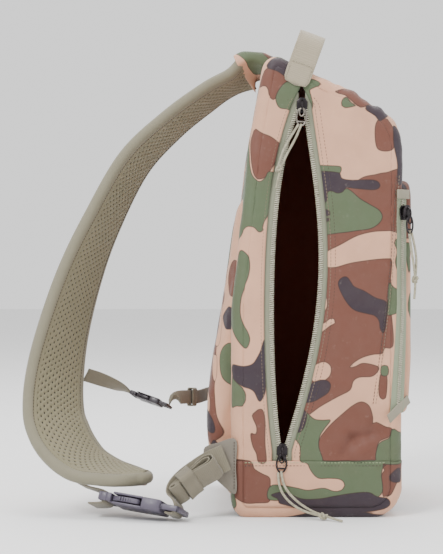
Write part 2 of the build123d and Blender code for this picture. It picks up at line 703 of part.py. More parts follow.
def buckle(prefix, plane, scale):
    """Male frame, its two release arms and the female half, closed, in one plane."""
    with BuildPart(plane) as male:
        buckle_block(MALE_FRAME, scale)
        buckle_block(MALE_SLOT, scale, Mode.SUBTRACT)
        buckle_block(MALE_GUIDE, scale)
    save(male, f"{prefix}_male")
    with BuildPart(plane) as female:
        buckle_block(FEMALE_BODY, scale)
        buckle_block(FEMALE_MOUTH, scale, Mode.SUBTRACT)
        buckle_block(FEMALE_LADDER, scale)
        for slot in LADDER_SLOTS:
            buckle_block(slot, scale, Mode.SUBTRACT)
    save(female, f"{prefix}_female")
    for side, title in ((1, "far"), (-1, "near")):
        with BuildPart() as arm:
            with BuildSketch(plane):
                with BuildLine():
                    Polyline(*[(x, side * y) for x, y in scaled(ARM_OUTLINE, scale)], close=True)
                make_face()
            extrude(amount=ARM_HALF_THICK * scale, both=True)
        save(arm, f"{prefix}_{title}_arm")
        pivot = plane.from_local_coords(Vector(ARM_PIVOT[0] * scale, side * ARM_PIVOT[1] * scale, 0))
        print(prefix, title, "arm pivot", pivot)


buckle("main_buckle", main_plane, 1.0)
buckle("small_buckle", small_plane, SMALL_BUCKLE_SCALE)


def on_plane(plane, x, y, z):
    return plane.from_local_coords(Vector(x, y, z))


# Webbing tab from the strap's outer face round the main buckle's bar, as places along the
# buckle and through it, with the bend at each corner.
STRAP_TAB_PATH = [(-66, 8.4), (-50, 6.2), (-34.7, 5.0), (-34.7, -5.4), (-50, -8.4)]
STRAP_TAB_BENDS = [30, 1.4, 1.4]
STRAP_TAB_THICK = 1.5
with BuildPart() as strap_tab:
    tab_side = Plane(origin=main_plane.origin, x_dir=main_plane.x_dir, z_dir=main_plane.y_dir * -1)
    with BuildSketch(tab_side):
        with BuildLine():
            FilletPolyline(*STRAP_TAB_PATH, radius=STRAP_TAB_BENDS)
        trace(line_width=STRAP_TAB_THICK)
    extrude(amount=WEBBING_HALF, both=True)
save(strap_tab, "strap_tab")

# Webbing from the strap's inner edge to the small buckle.
small_across = small_plane.y_dir
small_bar = on_plane(small_plane, -52 * SMALL_BUCKLE_SCALE, 0, 0)
SMALL_WEBBING = 14.0
STABILISER = [
    ((-215.5, -13, 126.5), (0.3, -0.3, 1)), ((-203, -2, 121.5), (0.2, -0.4, 1)),
    ((-188, 9, 114.5), (0, -0.8, 0.7)), (small_bar, small_across * -1),
]
save(band(STABILISER, SMALL_WEBBING, WEBBING_THICK), "stabiliser_webbing")


# ---------------------------------------------------------------- lower webbing and wing
WING = [(-97, 66), (-66, 74), (-66, 22), (-84, 30), (-97, 48)]
WING_THICK = 3.2
WING_GAP = 0.4               # between the wing and the bag's side
with BuildPart() as wing:
    with BuildSketch(side_plane(-HALF_WIDTH - WING_GAP)):
        with BuildLine():
            Polyline(*WING, close=True)
        make_face()
    extrude(amount=WING_THICK)
save(wing, "side_wing")

main_across = main_plane.y_dir * -1
BUNDLE = [
    (on_plane(main_plane, 30, 0, 6.0), main_across), ((-124.0, -132.0, 22.0), (-0.35, -0.75, 0.5)),
    ((-119.5, -131.6, 29.5), (-0.55, -0.3, 0.75)), ((-112.0, -129.6, 36.5), (-0.6, -0.05, 0.8)),
    ((-103.0, -126.8, 43.0), (-0.6, 0, 0.8)), ((-90, -122.8, 51.0), (-0.55, 0, 0.83)),
    ((-76, -121.4, 57.0), (-0.4, 0, 0.9)),
]
LOWER_THICK = 2.0
TAIL_LIFT = 4.0
TAIL_THICK = 4.0
save(band(BUNDLE, 2 * WEBBING_HALF, LOWER_THICK), "lower_webbing")

bundle_frames = band_frames(BUNDLE)
with BuildPart() as webbing_tail:
    for frame in bundle_frames[2:6]:
        with BuildSketch(frame):
            with Locations((0, TAIL_LIFT)):
                Rectangle(2 * WEBBING_HALF - 1, TAIL_THICK)
    loft()
save(webbing_tail, "webbing_tail")

KEEPER_THICK = 1.1


def keeper(frame, width, height, wall, half_length, centre=0.0):
    """Sleeve round webbing, given by its outside width and height in a section plane."""
    side_wall, flat_wall = wall
    with BuildPart() as sleeve:
        with BuildSketch(frame):
            with Locations((0, centre)):
                Rectangle(width, height)
                Rectangle(width - 2 * side_wall, height - 2 * flat_wall, mode=Mode.SUBTRACT)
        extrude(amount=half_length, both=True)
    return sleeve


save(keeper(bundle_frames[3], 31.0, 14.0, (1.2, KEEPER_THICK), 7.0, TAIL_LIFT / 2), "webbing_keeper")

# Stabiliser strap on the bag's side of the small buckle, out to the far lower edge.
small_ladder = on_plane(small_plane, 38 * SMALL_BUCKLE_SCALE, 0, 6.6)
ANCHOR_RUN = [
    (small_ladder, small_across), ((-123.5, 16, 101.5), (0.1, 0.7, 0.6)),
    ((-116, 36, 100.5), (0, 0.3, 1)), ((-106, 62, 98.5), (0, 0, 1)), ((-99.0, 88, 98.5), (0, 0, 1)),
    ((-94.5, 105, 98.5), (0, 0, 1)), ((-85.5, 116.8, 98.5), (0, 0, 1)),
]
save(band(ANCHOR_RUN, SMALL_WEBBING, WEBBING_THICK), "anchor_webbing")

ANCHOR_PATCH = [(-84, 90), (-64, 84), (-64, 113), (-84, 107)]
ANCHOR_PATCH_IN = 0.4        # patch's inner and outer faces from the bag's far side
ANCHOR_PATCH_OUT = 3.2
with BuildPart() as webbing_anchor:
    with BuildSketch(side_plane(HALF_WIDTH + ANCHOR_PATCH_OUT)):
        with BuildLine():
            Polyline(*ANCHOR_PATCH, close=True)
        make_face()
    extrude(amount=ANCHOR_PATCH_OUT - ANCHOR_PATCH_IN)
save(webbing_anchor, "webbing_anchor")

SMALL_KEEPER_AT = Vector(-111, 49, 99.5)
small_keeper_frame = frame_at(SMALL_KEEPER_AT, Vector(10, 26, -2), Vector(0, 0, 1))
save(keeper(small_keeper_frame, SMALL_WEBBING + 5, 7.0, (1.2, 1.2), 5.0), "small_keeper")
print("hinge point", HINGE_POINT, "first section across", first_frame.x_dir, first_frame.y_dir)
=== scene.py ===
"""Looks of the camouflage sling bag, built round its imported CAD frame.

Places are in millimetres here, as in the CAD, and turned into metres where a mesh is made.
X runs from the back pad (-X) to the front pocket (+X), Y across the bag with the long zip on
the -Y side, and Z up from the floor.
"""
from math import ceil, cos, pi, radians, sin, tan

import bmesh
import bpy
import numpy as np
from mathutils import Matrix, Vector, noise


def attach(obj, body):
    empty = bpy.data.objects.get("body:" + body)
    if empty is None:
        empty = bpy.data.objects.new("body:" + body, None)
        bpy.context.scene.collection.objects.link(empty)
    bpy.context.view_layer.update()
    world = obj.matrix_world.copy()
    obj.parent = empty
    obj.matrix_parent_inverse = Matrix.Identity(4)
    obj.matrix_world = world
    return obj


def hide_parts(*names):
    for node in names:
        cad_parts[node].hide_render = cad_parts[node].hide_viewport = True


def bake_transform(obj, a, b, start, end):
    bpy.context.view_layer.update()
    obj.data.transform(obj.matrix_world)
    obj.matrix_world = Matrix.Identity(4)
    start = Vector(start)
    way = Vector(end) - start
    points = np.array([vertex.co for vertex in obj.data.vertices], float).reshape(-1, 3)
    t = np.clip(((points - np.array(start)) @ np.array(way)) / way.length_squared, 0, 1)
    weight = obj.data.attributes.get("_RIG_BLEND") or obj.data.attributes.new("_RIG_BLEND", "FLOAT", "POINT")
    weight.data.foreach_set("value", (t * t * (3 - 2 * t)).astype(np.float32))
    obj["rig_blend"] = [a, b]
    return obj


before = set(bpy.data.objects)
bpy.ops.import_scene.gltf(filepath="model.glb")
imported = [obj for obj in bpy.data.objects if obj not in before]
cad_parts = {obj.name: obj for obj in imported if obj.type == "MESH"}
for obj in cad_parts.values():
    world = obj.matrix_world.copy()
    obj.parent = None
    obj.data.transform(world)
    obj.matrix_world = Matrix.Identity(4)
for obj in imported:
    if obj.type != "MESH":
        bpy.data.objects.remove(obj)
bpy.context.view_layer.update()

MM = 0.001

# ------------------------------------------------------------------ sizes shared with the CAD
HALF_WIDTH = 115.0
EDGE_ROUND = 10.0
BOOT_HEIGHT = 53.0
BODY_CORNERS = [
    (-70, 0, 14), (86, 0, 30), (88, 373, 50), (-38, 435, 12), (-54, 345, 300), (-70, 200, 300),
]
SLIT_REAR = [(-8, 384), (-28, 300), (-33.5, 203), (-31, 110), (-26, 62)]
SLIT_FRONT = [(-3, 384), (10, 285), (12, 245), (3, 153), (-21.5, 62)]
SLIT_TOP = (-5.5, 384.0)
SLIT_FOOT = (-24.0, 62.0)
SLIT_CLOSE_Z = 405.0         # the two side panels meet from here up
REAR_MARGIN = 8.0            # panel edge to chain, behind and in front
FRONT_MARGIN = 7.0
CHAIN_Y = -112.3
CHAIN_HALF = 1.5
REAR_TRAVEL = 16.0           # how far each chain moves as the zip closes
FRONT_TRAVEL = 23.9
STRAP_THICK = 11.0
WEBBING_WIDTH = 25.0
CORD_DIAMETER = 2.3

# ------------------------------------------------------------------ camera and light
CAMERA_PLACE = (-80.4, -1515.0, 224.0)
SENSOR_WIDTH = 36.0
VIEW_WIDTH = 412.0           # width seen at the near side of the bag
VIEW_DISTANCE = 1400.0       # from the camera to the near side of the bag
CAMERA_REACH = 20.0          # metres
LIGHT_AIM = Vector((-0.05, 0, 0.2))
LIGHTS = [                   # name, place and size in metres, power in watts
    ("key_light", (-1.3, -1.6, 1.9), 0.9, 62),
    ("fill_light", (1.6, -1.3, 0.9), 1.6, 14),
    ("top_light", (0.1, 0.5, 2.2), 1.6, 44),
]
WORLD_STRENGTH = 1.25


def add_object(name, data):
    """New object in the scene."""
    obj = bpy.data.objects.new(name, data)
    bpy.context.scene.collection.objects.link(obj)
    return obj


camera_data = bpy.data.cameras.new("camera")
camera_data.sensor_fit = "HORIZONTAL"
camera_data.sensor_width = SENSOR_WIDTH
camera_data.lens = SENSOR_WIDTH * VIEW_DISTANCE / VIEW_WIDTH
camera_data.clip_end = CAMERA_REACH
camera = add_object("camera", camera_data)
camera.location = Vector(CAMERA_PLACE) * MM
camera.rotation_euler = (pi / 2, 0, 0)
bpy.context.scene.camera = camera


def area_light(name, place, size, power):
    """Soft square light aimed at the middle of the bag."""
    data = bpy.data.lights.new(name, "AREA")
    data.energy = power
    data.size = size
    light = add_object(name, data)
    light.location = place
    light.rotation_euler = (LIGHT_AIM - light.location).to_track_quat("-Z", "Y").to_euler()


for settings in LIGHTS:
    area_light(*settings)

world = bpy.data.worlds.new("studio")
world.use_nodes = True
world.node_tree.nodes["Background"].inputs["Color"].default_value = (1, 1, 1, 1)
world.node_tree.nodes["Background"].inputs["Strength"].default_value = WORLD_STRENGTH
bpy.context.scene.world = world


# ------------------------------------------------------------------ materials
class Shader:
    """One principled material and short calls for the nodes that feed it."""

    def __init__(self, name, roughness, specular=0.5, metallic=0.0, sheen=0.0):
        self.material = bpy.data.materials.new(name)
        self.material.use_nodes = True
        self.tree = self.material.node_tree
        self.bsdf = self.tree.nodes["Principled BSDF"]
        self.bsdf.inputs["Roughness"].default_value = roughness
        self.bsdf.inputs["Specular IOR Level"].default_value = specular
        self.bsdf.inputs["Metallic"].default_value = metallic
        self.bsdf.inputs["Sheen Weight"].default_value = sheen

    def feed(self, socket, value):
        if isinstance(value, bpy.types.NodeSocket):
            self.tree.links.new(value, socket)
        else:
            socket.default_value = value

    def node(self, kind, **inputs):
        made = self.tree.nodes.new(kind)
        for key, value in inputs.items():
            self.feed(made.inputs[key], value)
        return made

    def math(self, operation, first, second=0.0):
        made = self.tree.nodes.new("ShaderNodeMath")
        made.operation = operation
        self.feed(made.inputs[0], first)
        self.feed(made.inputs[1], second)
        return made.outputs[0]

    def ramp(self, value, low, high, out_low=0.0, out_high=1.0):
        """Smooth step of value between low and high."""
        made = self.tree.nodes.new("ShaderNodeMapRange")
        made.interpolation_type = "SMOOTHSTEP"
        for index, entry in enumerate((value, low, high, out_low, out_high)):
            self.feed(made.inputs[index], entry)
        return made.outputs[0]

    def mix(self, factor, first, second):
        """Blend of two colours."""
        made = self.tree.nodes.new("ShaderNodeMix")
        made.data_type = "RGBA"
        self.feed(made.inputs[0], factor)
        self.feed(made.inputs[6], first)
        self.feed(made.inputs[7], second)
        return made.outputs[2]

    def attribute(self, name, output="Fac"):
        made = self.tree.nodes.new("ShaderNodeAttribute")
        made.attribute_name = name
        return made.outputs[output]

    def cloth(self):
        """The two fabric coordinates of a point, in metres along and across its threads."""
        split = self.node("ShaderNodeSeparateXYZ", Vector=self.attribute("cloth", "Vector"))
        return split.outputs[0], split.outputs[1]

    def noise(self, scale, detail=3.0):
        place = self.tree.nodes.new("ShaderNodeTexCoord").outputs["Object"]
        made = self.node("ShaderNodeTexNoise", Vector=place, Scale=scale, Detail=detail)
        return made.outputs[0]

    def wave(self, along, pitch):
        """Ridges one pitch apart, from 0 to 1."""
        turned = self.math("MULTIPLY", along, 2 * pi / (pitch * MM))
        return self.math("MULTIPLY_ADD", self.math("SINE", turned), 0.5)

    def bump(self, height, distance, strength=1.0):
        made = self.node("ShaderNodeBump", Height=height, Distance=distance * MM, Strength=strength)
        self.tree.links.new(made.outputs[0], self.bsdf.inputs["Normal"])

    def colour(self, value):
        self.feed(self.bsdf.inputs["Base Color"], value)

    def roughness(self, scale, low, high, detail=3.0):
        """Roughness that varies in patches between low and high."""
        value = self.ramp(self.noise(scale, detail), 0.3, 0.7, low, high)
        self.feed(self.bsdf.inputs["Roughness"], value)


def rgb(red, green, blue):
    """Colour given as it looks on a screen, 0 to 255, turned linear."""
    def linear(channel):
        share = channel / 255
        return share / 12.92 if share <= 0.04045 else ((share + 0.055) / 1.055) ** 2.4
    return (linear(red), linear(green), linear(blue), 1.0)


def shade(colour, factor):
    """Colour made darker or lighter by a factor."""
    return (colour[0] * factor, colour[1] * factor, colour[2] * factor, 1.0)


TAN = rgb(196, 150, 122)
BROWN = rgb(98, 57, 44)
GREEN = rgb(75, 88, 62)
DARK = rgb(42, 31, 40)
OUTLINE = rgb(40, 24, 20)
CAMO_LAYERS = [("camo_brown", BROWN), ("camo_cream", TAN), ("camo_green", GREEN),
               ("camo_dark", DARK)]
OUTLINE_HALF = 0.55          # half the width of the thin printed line round each patch
PRINT_BLUR = 0.25            # how far each ink runs past its edge


def camo_material():
    """Coated packcloth printed with layered patches, each with a thin dark outline."""
    s = Shader("camo_fabric", 0.62, specular=0.35, sheen=0.12)
    colour = TAN
    for layer, ink in CAMO_LAYERS:
        distance = s.attribute(layer)
        inside = s.ramp(distance, -PRINT_BLUR * MM, PRINT_BLUR * MM, 1.0, 0.0)
        away = s.math("ABSOLUTE", distance)
        edge = s.ramp(away, OUTLINE_HALF * MM * 0.3, OUTLINE_HALF * MM * 1.4, 0.75, 0.0)
        colour = s.mix(inside, colour, ink)
        colour = s.mix(edge, colour, OUTLINE)
    mottle = s.ramp(s.noise(38.0), 0.25, 0.75, 0.0, 0.13)
    colour = s.mix(mottle, colour, rgb(84, 62, 50))
    rubbed = s.ramp(s.noise(210.0, 5.0), 0.6, 0.85, 0.0, 0.05)
    s.colour(s.mix(rubbed, colour, rgb(236, 222, 206)))
    s.roughness(90.0, 0.52, 0.72)
    along, across = s.cloth()
    threads = s.math("MULTIPLY", s.wave(along, 0.7), s.wave(across, 0.7))
    crinkle = s.math("MULTIPLY", s.noise(130.0, 4.0), 3.0)
    s.bump(s.math("ADD", threads, crinkle), 0.12, 0.5)
    return s.material


def webbing_material(name, colour, pitch):
    """Woven band: ribs across it, fine warp along it, and a duller, fuzzier rubbed face."""
    s = Shader(name, 0.8, specular=0.25, sheen=0.25)
    along, across = s.cloth()
    ribs = s.wave(along, pitch)
    warp = s.wave(across, 1.1)
    weave = s.math("ADD", s.math("MULTIPLY", ribs, 0.6), s.math("MULTIPLY", warp, 0.4))
    toned = s.mix(s.ramp(weave, 0.1, 0.9, 0.0, 0.5), shade(colour, 0.8), shade(colour, 1.08))
    worn = s.ramp(s.noise(60.0, 5.0), 0.35, 0.75, 0.0, 0.22)
    s.colour(s.mix(worn, toned, shade(colour, 0.78)))
    s.roughness(150.0, 0.7, 0.9)
    s.bump(weave, 0.22, 0.7)
    return s.material


HOLE_COLUMN = 3.9            # spacing of the spacer mesh's holes, across and along
HOLE_ROW = 6.5
HOLE_RADIUS = 1.15


def mesh_material():
    """Spacer mesh: staggered holes in a knitted face, painted near-black as painted shade inside them. Its
    mesh is dented at each hole too.
    """
    s = Shader("spacer_mesh", 0.85, specular=0.2, sheen=0.2)
    colour = rgb(134, 127, 102)
    hole = s.attribute("hole")
    knit = s.math("MULTIPLY", s.wave(s.cloth()[0], 1.1), s.wave(s.cloth()[1], 0.95))
    toned = s.mix(s.ramp(knit, 0.0, 1.0, 0.0, 0.6), shade(colour, 0.78), shade(colour, 1.1))
    aged = s.mix(s.ramp(s.noise(30.0), 0.3, 0.75, 0.0, 0.2), toned, rgb(108, 108, 84))
    # painted shade: the hole mask turns the knit near-black, standing in for the shade inside each hole
    s.colour(s.mix(s.ramp(hole, 0.35, 0.75, 0.0, 1.0), aged, rgb(26, 22, 18)))
    s.roughness(120.0, 0.75, 0.95)
    s.bump(s.math("SUBTRACT", knit, s.math("MULTIPLY", hole, 2.0)), 0.25, 0.6)
    return s.material


def cloth_material(name, colour, scale=1.0, roughness=0.75):
    """Plain woven cloth, such as tape, binding or lining."""
    s = Shader(name, roughness, specular=0.25, sheen=0.2)
    along, across = s.cloth()
    twill = s.wave(s.math("ADD", along, across), 1.2 * scale)
    weft = s.wave(along, 0.8 * scale)
    weave = s.math("ADD", s.math("MULTIPLY", twill, 0.5), s.math("MULTIPLY", weft, 0.5))
    toned = s.mix(s.ramp(weave, 0.0, 1.0, 0.0, 0.5), shade(colour, 0.84), shade(colour, 1.06))
    worn = s.ramp(s.noise(45.0, 4.0), 0.35, 0.75, 0.0, 0.18)
    s.colour(s.mix(worn, toned, shade(colour, 0.75)))
    s.roughness(150.0, roughness - 0.08, roughness + 0.1)
    s.bump(weave, 0.15, 0.5)
    return s.material


def plastic_material(name, colour, roughness=0.42):
    """Moulded acetal: fine spark-eroded grain, with paler rubbed high spots."""
    s = Shader(name, roughness, specular=0.5)
    grain = s.noise(900.0, 2.0)
    scuffs = s.ramp(s.noise(160.0, 6.0), 0.6, 0.72, 0.0, 0.22)
    patchy = s.mix(s.ramp(s.noise(40.0), 0.3, 0.7, 0.0, 0.25), colour, shade(colour, 0.72))
    s.colour(s.mix(scuffs, patchy, shade(colour, 1.9)))
    s.roughness(220.0, roughness - 0.08, roughness + 0.14, 4.0)
    s.bump(grain, 0.08, 0.35)
    return s.material


def metal_material(name, colour, roughness=0.32):
    """Painted zinc casting, polished through on its rubbed spots."""
    s = Shader(name, roughness, metallic=0.85)
    rubbed = s.ramp(s.noise(260.0, 4.0), 0.52, 0.72, 0.0, 0.6)
    s.colour(s.mix(rubbed, colour, shade(colour, 2.6)))
    s.roughness(320.0, roughness - 0.1, roughness + 0.16, 4.0)
    s.bump(s.noise(500.0, 3.0), 0.05, 0.3)
    return s.material


def coil_material():
    """Nylon zip coil: bright rounded turns with grime between them."""
    s = Shader("zip_coil", 0.38, specular=0.5)
    dirt = s.ramp(s.noise(240.0, 4.0), 0.4, 0.75, 0.0, 0.4)
    s.colour(s.mix(dirt, rgb(176, 172, 152), rgb(84, 80, 66)))
    s.roughness(300.0, 0.3, 0.5)
    s.bump(s.noise(700.0, 2.0), 0.05, 0.3)
    return s.material


def cord_material():
    """Braided cord sheath: fine bumps, and darker streaks where it is soiled."""
    s = Shader("pull_cord", 0.72, specular=0.3, sheen=0.2)
    braid = s.noise(900.0, 2.0)
    streak = s.ramp(s.noise(400.0, 3.0), 0.35, 0.7, 0.0, 0.55)
    s.colour(s.mix(streak, rgb(158, 152, 130), rgb(96, 92, 76)))
    s.roughness(300.0, 0.6, 0.85)
    s.bump(braid, 0.25, 0.7)
    return s.material


def floor_material():
    """Plain pale floor, very slightly uneven in tone."""
    s = Shader("studio_floor", 0.9, specular=0.1)
    s.colour(s.mix(s.ramp(s.noise(3.0), 0.3, 0.7, 0.0, 0.1), rgb(236, 236, 236), rgb(232, 232, 232)))
    return s.material


CAMO = camo_material()
WEBBING = webbing_material("webbing_taupe", rgb(122, 115, 98), 1.7)
HANDLE_WEBBING = webbing_material("webbing_light", rgb(160, 149, 128), 1.9)
MESH = mesh_material()
BINDING = cloth_material("edge_binding", rgb(126, 121, 102))
TAPE = cloth_material("zip_tape", rgb(128, 130, 110))
STRIP = cloth_material("pale_strip", rgb(134, 142, 118))
TAB_CLOTH = cloth_material("tab_cloth", rgb(142, 136, 118))
WING_CLOTH = cloth_material("wing_cloth", rgb(118, 111, 100))
LINING = cloth_material("dark_lining", rgb(124, 62, 44), 1.4, 0.85)
THREAD = cloth_material("thread", rgb(158, 150, 126), 0.4)
GREEN_THREAD = cloth_material("green_thread", rgb(150, 164, 124), 0.4)
SEAM_THREAD = cloth_material("seam_thread", rgb(122, 104, 84), 0.4)
DARK_THREAD = cloth_material("dark_thread", rgb(66, 54, 44), 0.4)
COIL = coil_material()
CORD = cord_material()
SLIDER_METAL = metal_material("slider_metal", rgb(44, 40, 42))
RING_METAL = metal_material("ring_metal", rgb(120, 114, 106), 0.28)
BUCKLE = plastic_material("buckle_plastic", rgb(76, 70, 84))
SMALL_BUCKLE = plastic_material("small_buckle_plastic", rgb(44, 38, 44))

# ------------------------------------------------------------------ camouflage print
# Patches of one repeat of the print, as outlines in x and z on the near side of the bag.
CAMO_PATCHES = {
    "camo_brown": [
        [(-47, 402), (-42, 414), (-38, 418), (-30, 417), (-19, 409), (-14, 405), (-20, 404),
         (-26, 398), (-30, 390), (-33, 389), (-36, 393), (-37, 399), (-40, 402)],
        [(-49, 362), (-43, 358), (-34, 354), (-27, 348), (-26, 342), (-29, 334), (-34, 325),
         (-38, 318), (-44, 315), (-48, 316), (-51, 322), (-53, 335), (-54, 350), (-52, 358)],
        [(-60, 313), (-57, 313), (-54, 309), (-53, 302), (-54, 296), (-58, 293), (-66, 293),
         (-66, 312)],
        [(-50, 98), (-46, 101), (-42, 100), (-40, 90), (-40, 70), (-39, 52), (-46, 52), (-48, 60),
         (-51, 66), (-53, 74), (-53, 79), (-50, 78), (-48, 79), (-48, 85), (-51, 92), (-52, 96)],
        [(-74, 53), (-54, 53), (-50, 46), (-42, 41), (-36, 38), (-35, 32), (-36, 22), (-36, 15),
         (-48, 14), (-58, 14), (-67, 19), (-70, 22), (-74, 40)],
        [(50, 316), (62, 319), (72, 321), (92, 321), (92, 268), (76, 267), (60, 266), (45, 262),
         (30, 254), (20, 249), (14, 244), (12, 250), (10, 262), (12, 300), (36, 306)],
        [(25, 396), (34, 393), (41, 387), (46, 383), (52, 382), (60, 386), (68, 382), (64, 392),
         (50, 398), (36, 400)],
        [(66, 371), (70, 371), (74, 371), (79, 362), (80, 345), (74, 341), (66, 342), (63, 347),
         (62, 358), (63, 366)],
        [(6, 232), (10, 240), (15, 234), (25, 233), (40, 237), (60, 240), (74, 241), (78, 239),
         (77, 225), (76, 205), (78, 185), (79, 160), (71, 158), (69, 153), (60, 152), (50, 149),
         (42, 144), (39, 140), (44, 141), (51, 144), (62, 142), (66, 139), (60, 132), (48, 131),
         (42, 127), (39, 119), (28, 113), (12, 104), (0, 96), (-6, 100), (-12, 108), (-6, 125),
         (-2, 145), (2, 165), (6, 190), (7, 210)],
        [(14, 52), (10, 62), (10, 72), (15, 80), (22, 88), (32, 97), (42, 105), (50, 108),
         (57, 104), (60, 94), (60, 88), (64, 89), (72, 85), (78, 83), (76, 76), (66, 71),
         (64, 64), (65, 52)],
        [(67, 133), (73, 133), (72, 112), (66, 114)],
        [(67, 53), (88, 54), (88, 46), (80, 30), (76, 22), (70, 20), (69, 28), (68, 40), (71, 45)],
        [(-30, 262), (-12, 270), (0, 258), (-4, 240), (-20, 236), (-31, 246)],
    ],
    "camo_cream": [
        [(8, 228), (14, 226), (17, 220), (17, 213), (15, 209), (18, 204), (18, 196), (15, 191),
         (10, 189), (2, 190), (4, 210)],
        [(0, 156), (7, 160), (10, 168), (15, 174), (21, 179), (25, 181), (24, 185), (20, 185),
         (15, 181), (9, 180), (2, 178)],
        [(4, 130), (5, 139), (10, 144), (16, 145), (21, 141), (21, 134), (17, 129), (10, 126),
         (5, 127)],
    ],
    "camo_green": [
        [(-33, 436), (-25, 433), (-12, 427), (-11, 424), (-24, 428), (-30, 431)],
        [(-17, 406), (-22, 404), (-27, 398), (-30, 391), (-29, 385), (-26, 381), (-20, 380),
         (-12, 378), (4, 380), (3, 392), (2, 398), (12, 403), (4, 408), (-8, 406)],
        [(-60, 372), (-56, 345), (-53, 322), (-46, 313), (-40, 316), (-36, 322), (-24, 316),
         (-26, 300), (-36, 285), (-42, 272), (-42, 267), (-46, 266), (-50, 270), (-56, 271),
         (-60, 268), (-64, 262), (-78, 262), (-78, 330)],
        [(-72, 230), (-66, 246), (-62, 249), (-56, 244), (-54, 236), (-55, 226), (-59, 214),
         (-62, 204), (-63, 192), (-61, 182), (-56, 173), (-54, 166), (-56, 159), (-59, 158),
         (-63, 162), (-70, 172), (-78, 185), (-78, 215)],
        [(-72, 132), (-66, 126), (-61, 121), (-58, 116), (-58, 109), (-61, 104), (-66, 104),
         (-72, 104)],
        [(0, 50), (2, 53), (30, 53), (67, 53), (68, 40), (69, 24), (60, 17), (45, 12), (20, 8),
         (0, 10), (-10, 17), (-36, 17), (-35, 30), (-22, 30), (-10, 28), (0, 26), (14, 28),
         (24, 25), (31, 26), (34, 31), (30, 36), (20, 37), (10, 37), (4, 42)],
        [(5, 331), (12, 328), (28, 327), (31, 325), (29, 320), (20, 320), (8, 320), (4, 324)],
        [(18, 303), (24, 304), (30, 303), (35, 306), (40, 304), (48, 297), (58, 291), (66, 286),
         (69, 280), (66, 274), (58, 269), (45, 267), (30, 265), (8, 264), (9, 280), (14, 290)],
        [(31, 386), (33, 390), (36, 391), (40, 386), (44, 383), (36, 381), (32, 382)],
        [(-12, 82), (-6, 88), (-3, 98), (0, 97), (6, 92), (14, 91), (21, 91), (16, 84), (11, 76),
         (10, 66), (13, 52), (-6, 52), (-7, 60), (-8, 68), (-13, 76)],
        [(65, 52), (64, 66), (68, 71), (76, 75), (78, 83), (84, 80), (90, 76), (90, 52)],
        [(80, 256), (82, 259), (90, 260), (88, 245), (84, 230), (81, 238), (83, 248)],
        [(75, 218), (80, 214), (84, 211), (86, 200), (83, 191), (73, 189), (74, 200)],
        [(68, 141), (74, 141), (74, 133), (68, 133)],
        [(-90, 44), (-72, 43), (-69, 34), (-68, 22), (-66, 12), (-72, 7), (-90, 4)],
        [(-26, 180), (-14, 192), (-4, 180), (-8, 160), (-20, 152), (-28, 166)],
    ],
    "camo_dark": [
        [(-38, 421), (-33, 428), (-27, 430), (-20, 428), (-10, 424), (-17, 412), (-19, 409),
         (-28, 415), (-36, 418)],
        [(-72, 142), (-60, 141), (-52, 143), (-48, 148), (-44, 156), (-41, 166), (-40, 150),
         (-40, 120), (-43, 110), (-46, 109), (-50, 117), (-54, 120), (-60, 122), (-66, 126),
         (-72, 132)],
        [(-35, 21), (-27, 24), (-18, 23), (-6, 18), (10, 18), (22, 20), (40, 23), (56, 24),
         (64, 20), (74, 18), (72, 10), (40, 5), (10, 5), (-8, 9), (-20, 12), (-27, 14),
         (-28, 18)],
        [(5, 321), (28, 321), (31, 316), (40, 314), (60, 314), (66, 311), (66, 307), (60, 305),
         (45, 306), (36, 307), (32, 303), (27, 302), (22, 304), (18, 303), (18, 296), (14, 290),
         (15, 288), (20, 285), (20, 281), (16, 281), (14, 279), (20, 278), (20, 276), (12, 276),
         (9, 290), (7, 305)],
        [(53, 382), (56, 378), (62, 374), (66, 369), (70, 371), (76, 376), (70, 386), (62, 386)],
        [(79, 364), (86, 360), (94, 345), (94, 318), (84, 310), (83, 330), (80, 345)],
        [(-5, 108), (-3, 118), (4, 125), (10, 128), (17, 128), (21, 124), (19, 117), (12, 112),
         (4, 108)],
        [(-13, 80), (-7, 80), (-3, 86), (-1, 95), (-3, 100), (-7, 99), (-11, 90)],
        [(28, 218), (31, 223), (36, 224), (40, 219), (43, 215), (52, 211), (62, 205), (71, 202),
         (74, 198), (73, 188), (72, 178), (70, 172), (67, 176), (66, 183), (62, 188), (55, 190),
         (44, 193), (37, 199), (31, 209)],
        [(76, 40), (82, 46), (87, 44), (86, 34), (80, 33), (76, 35)],
        [(-22, 218), (-10, 226), (2, 216), (-6, 206), (-18, 206)],
    ],
}
PRINT_LOW = np.array([-76.0, 6.0])       # the repeat, mirrored beyond these limits
PRINT_HIGH = np.array([92.0, 434.0])


def smooth_outline(points, steps=6):
    """Closed Catmull-Rom curve through points."""
    p = np.array(points, float)
    before, after, beyond = np.roll(p, 1, 0), np.roll(p, -1, 0), np.roll(p, -2, 0)
    pieces = []
    for t in np.arange(steps) / steps:
        pieces.append(0.5 * (2 * p + (after - before) * t
                             + (2 * before - 5 * p + 4 * after - beyond) * t ** 2
                             + (3 * p - before - 3 * after + beyond) * t ** 3))
    return np.stack(pieces, 1).reshape(-1, 2)


def signed_distance(places, outline):
    """Distance of each place to a closed outline, negative inside."""
    nearest = np.full(len(places), 1e9)
    inside = np.zeros(len(places), bool)
    for a, b in zip(outline, np.roll(outline, -1, 0)):
        run = b - a
        offset = places - a
        share = np.clip(offset @ run / max(run @ run, 1e-9), 0, 1)
        nearest = np.minimum(nearest, np.linalg.norm(offset - share[:, None] * run, axis=1))
        spans = (a[1] > places[:, 1]) != (b[1] > places[:, 1])
        if spans.any():
            crossing = a[0] + (places[:, 1] - a[1]) * run[0] / (run[1] if run[1] else 1e-9)
            inside ^= spans & (places[:, 0] < crossing)
    return np.where(inside, -nearest, nearest)


PATCH_REACH = 12.0           # distances beyond this are not worked out


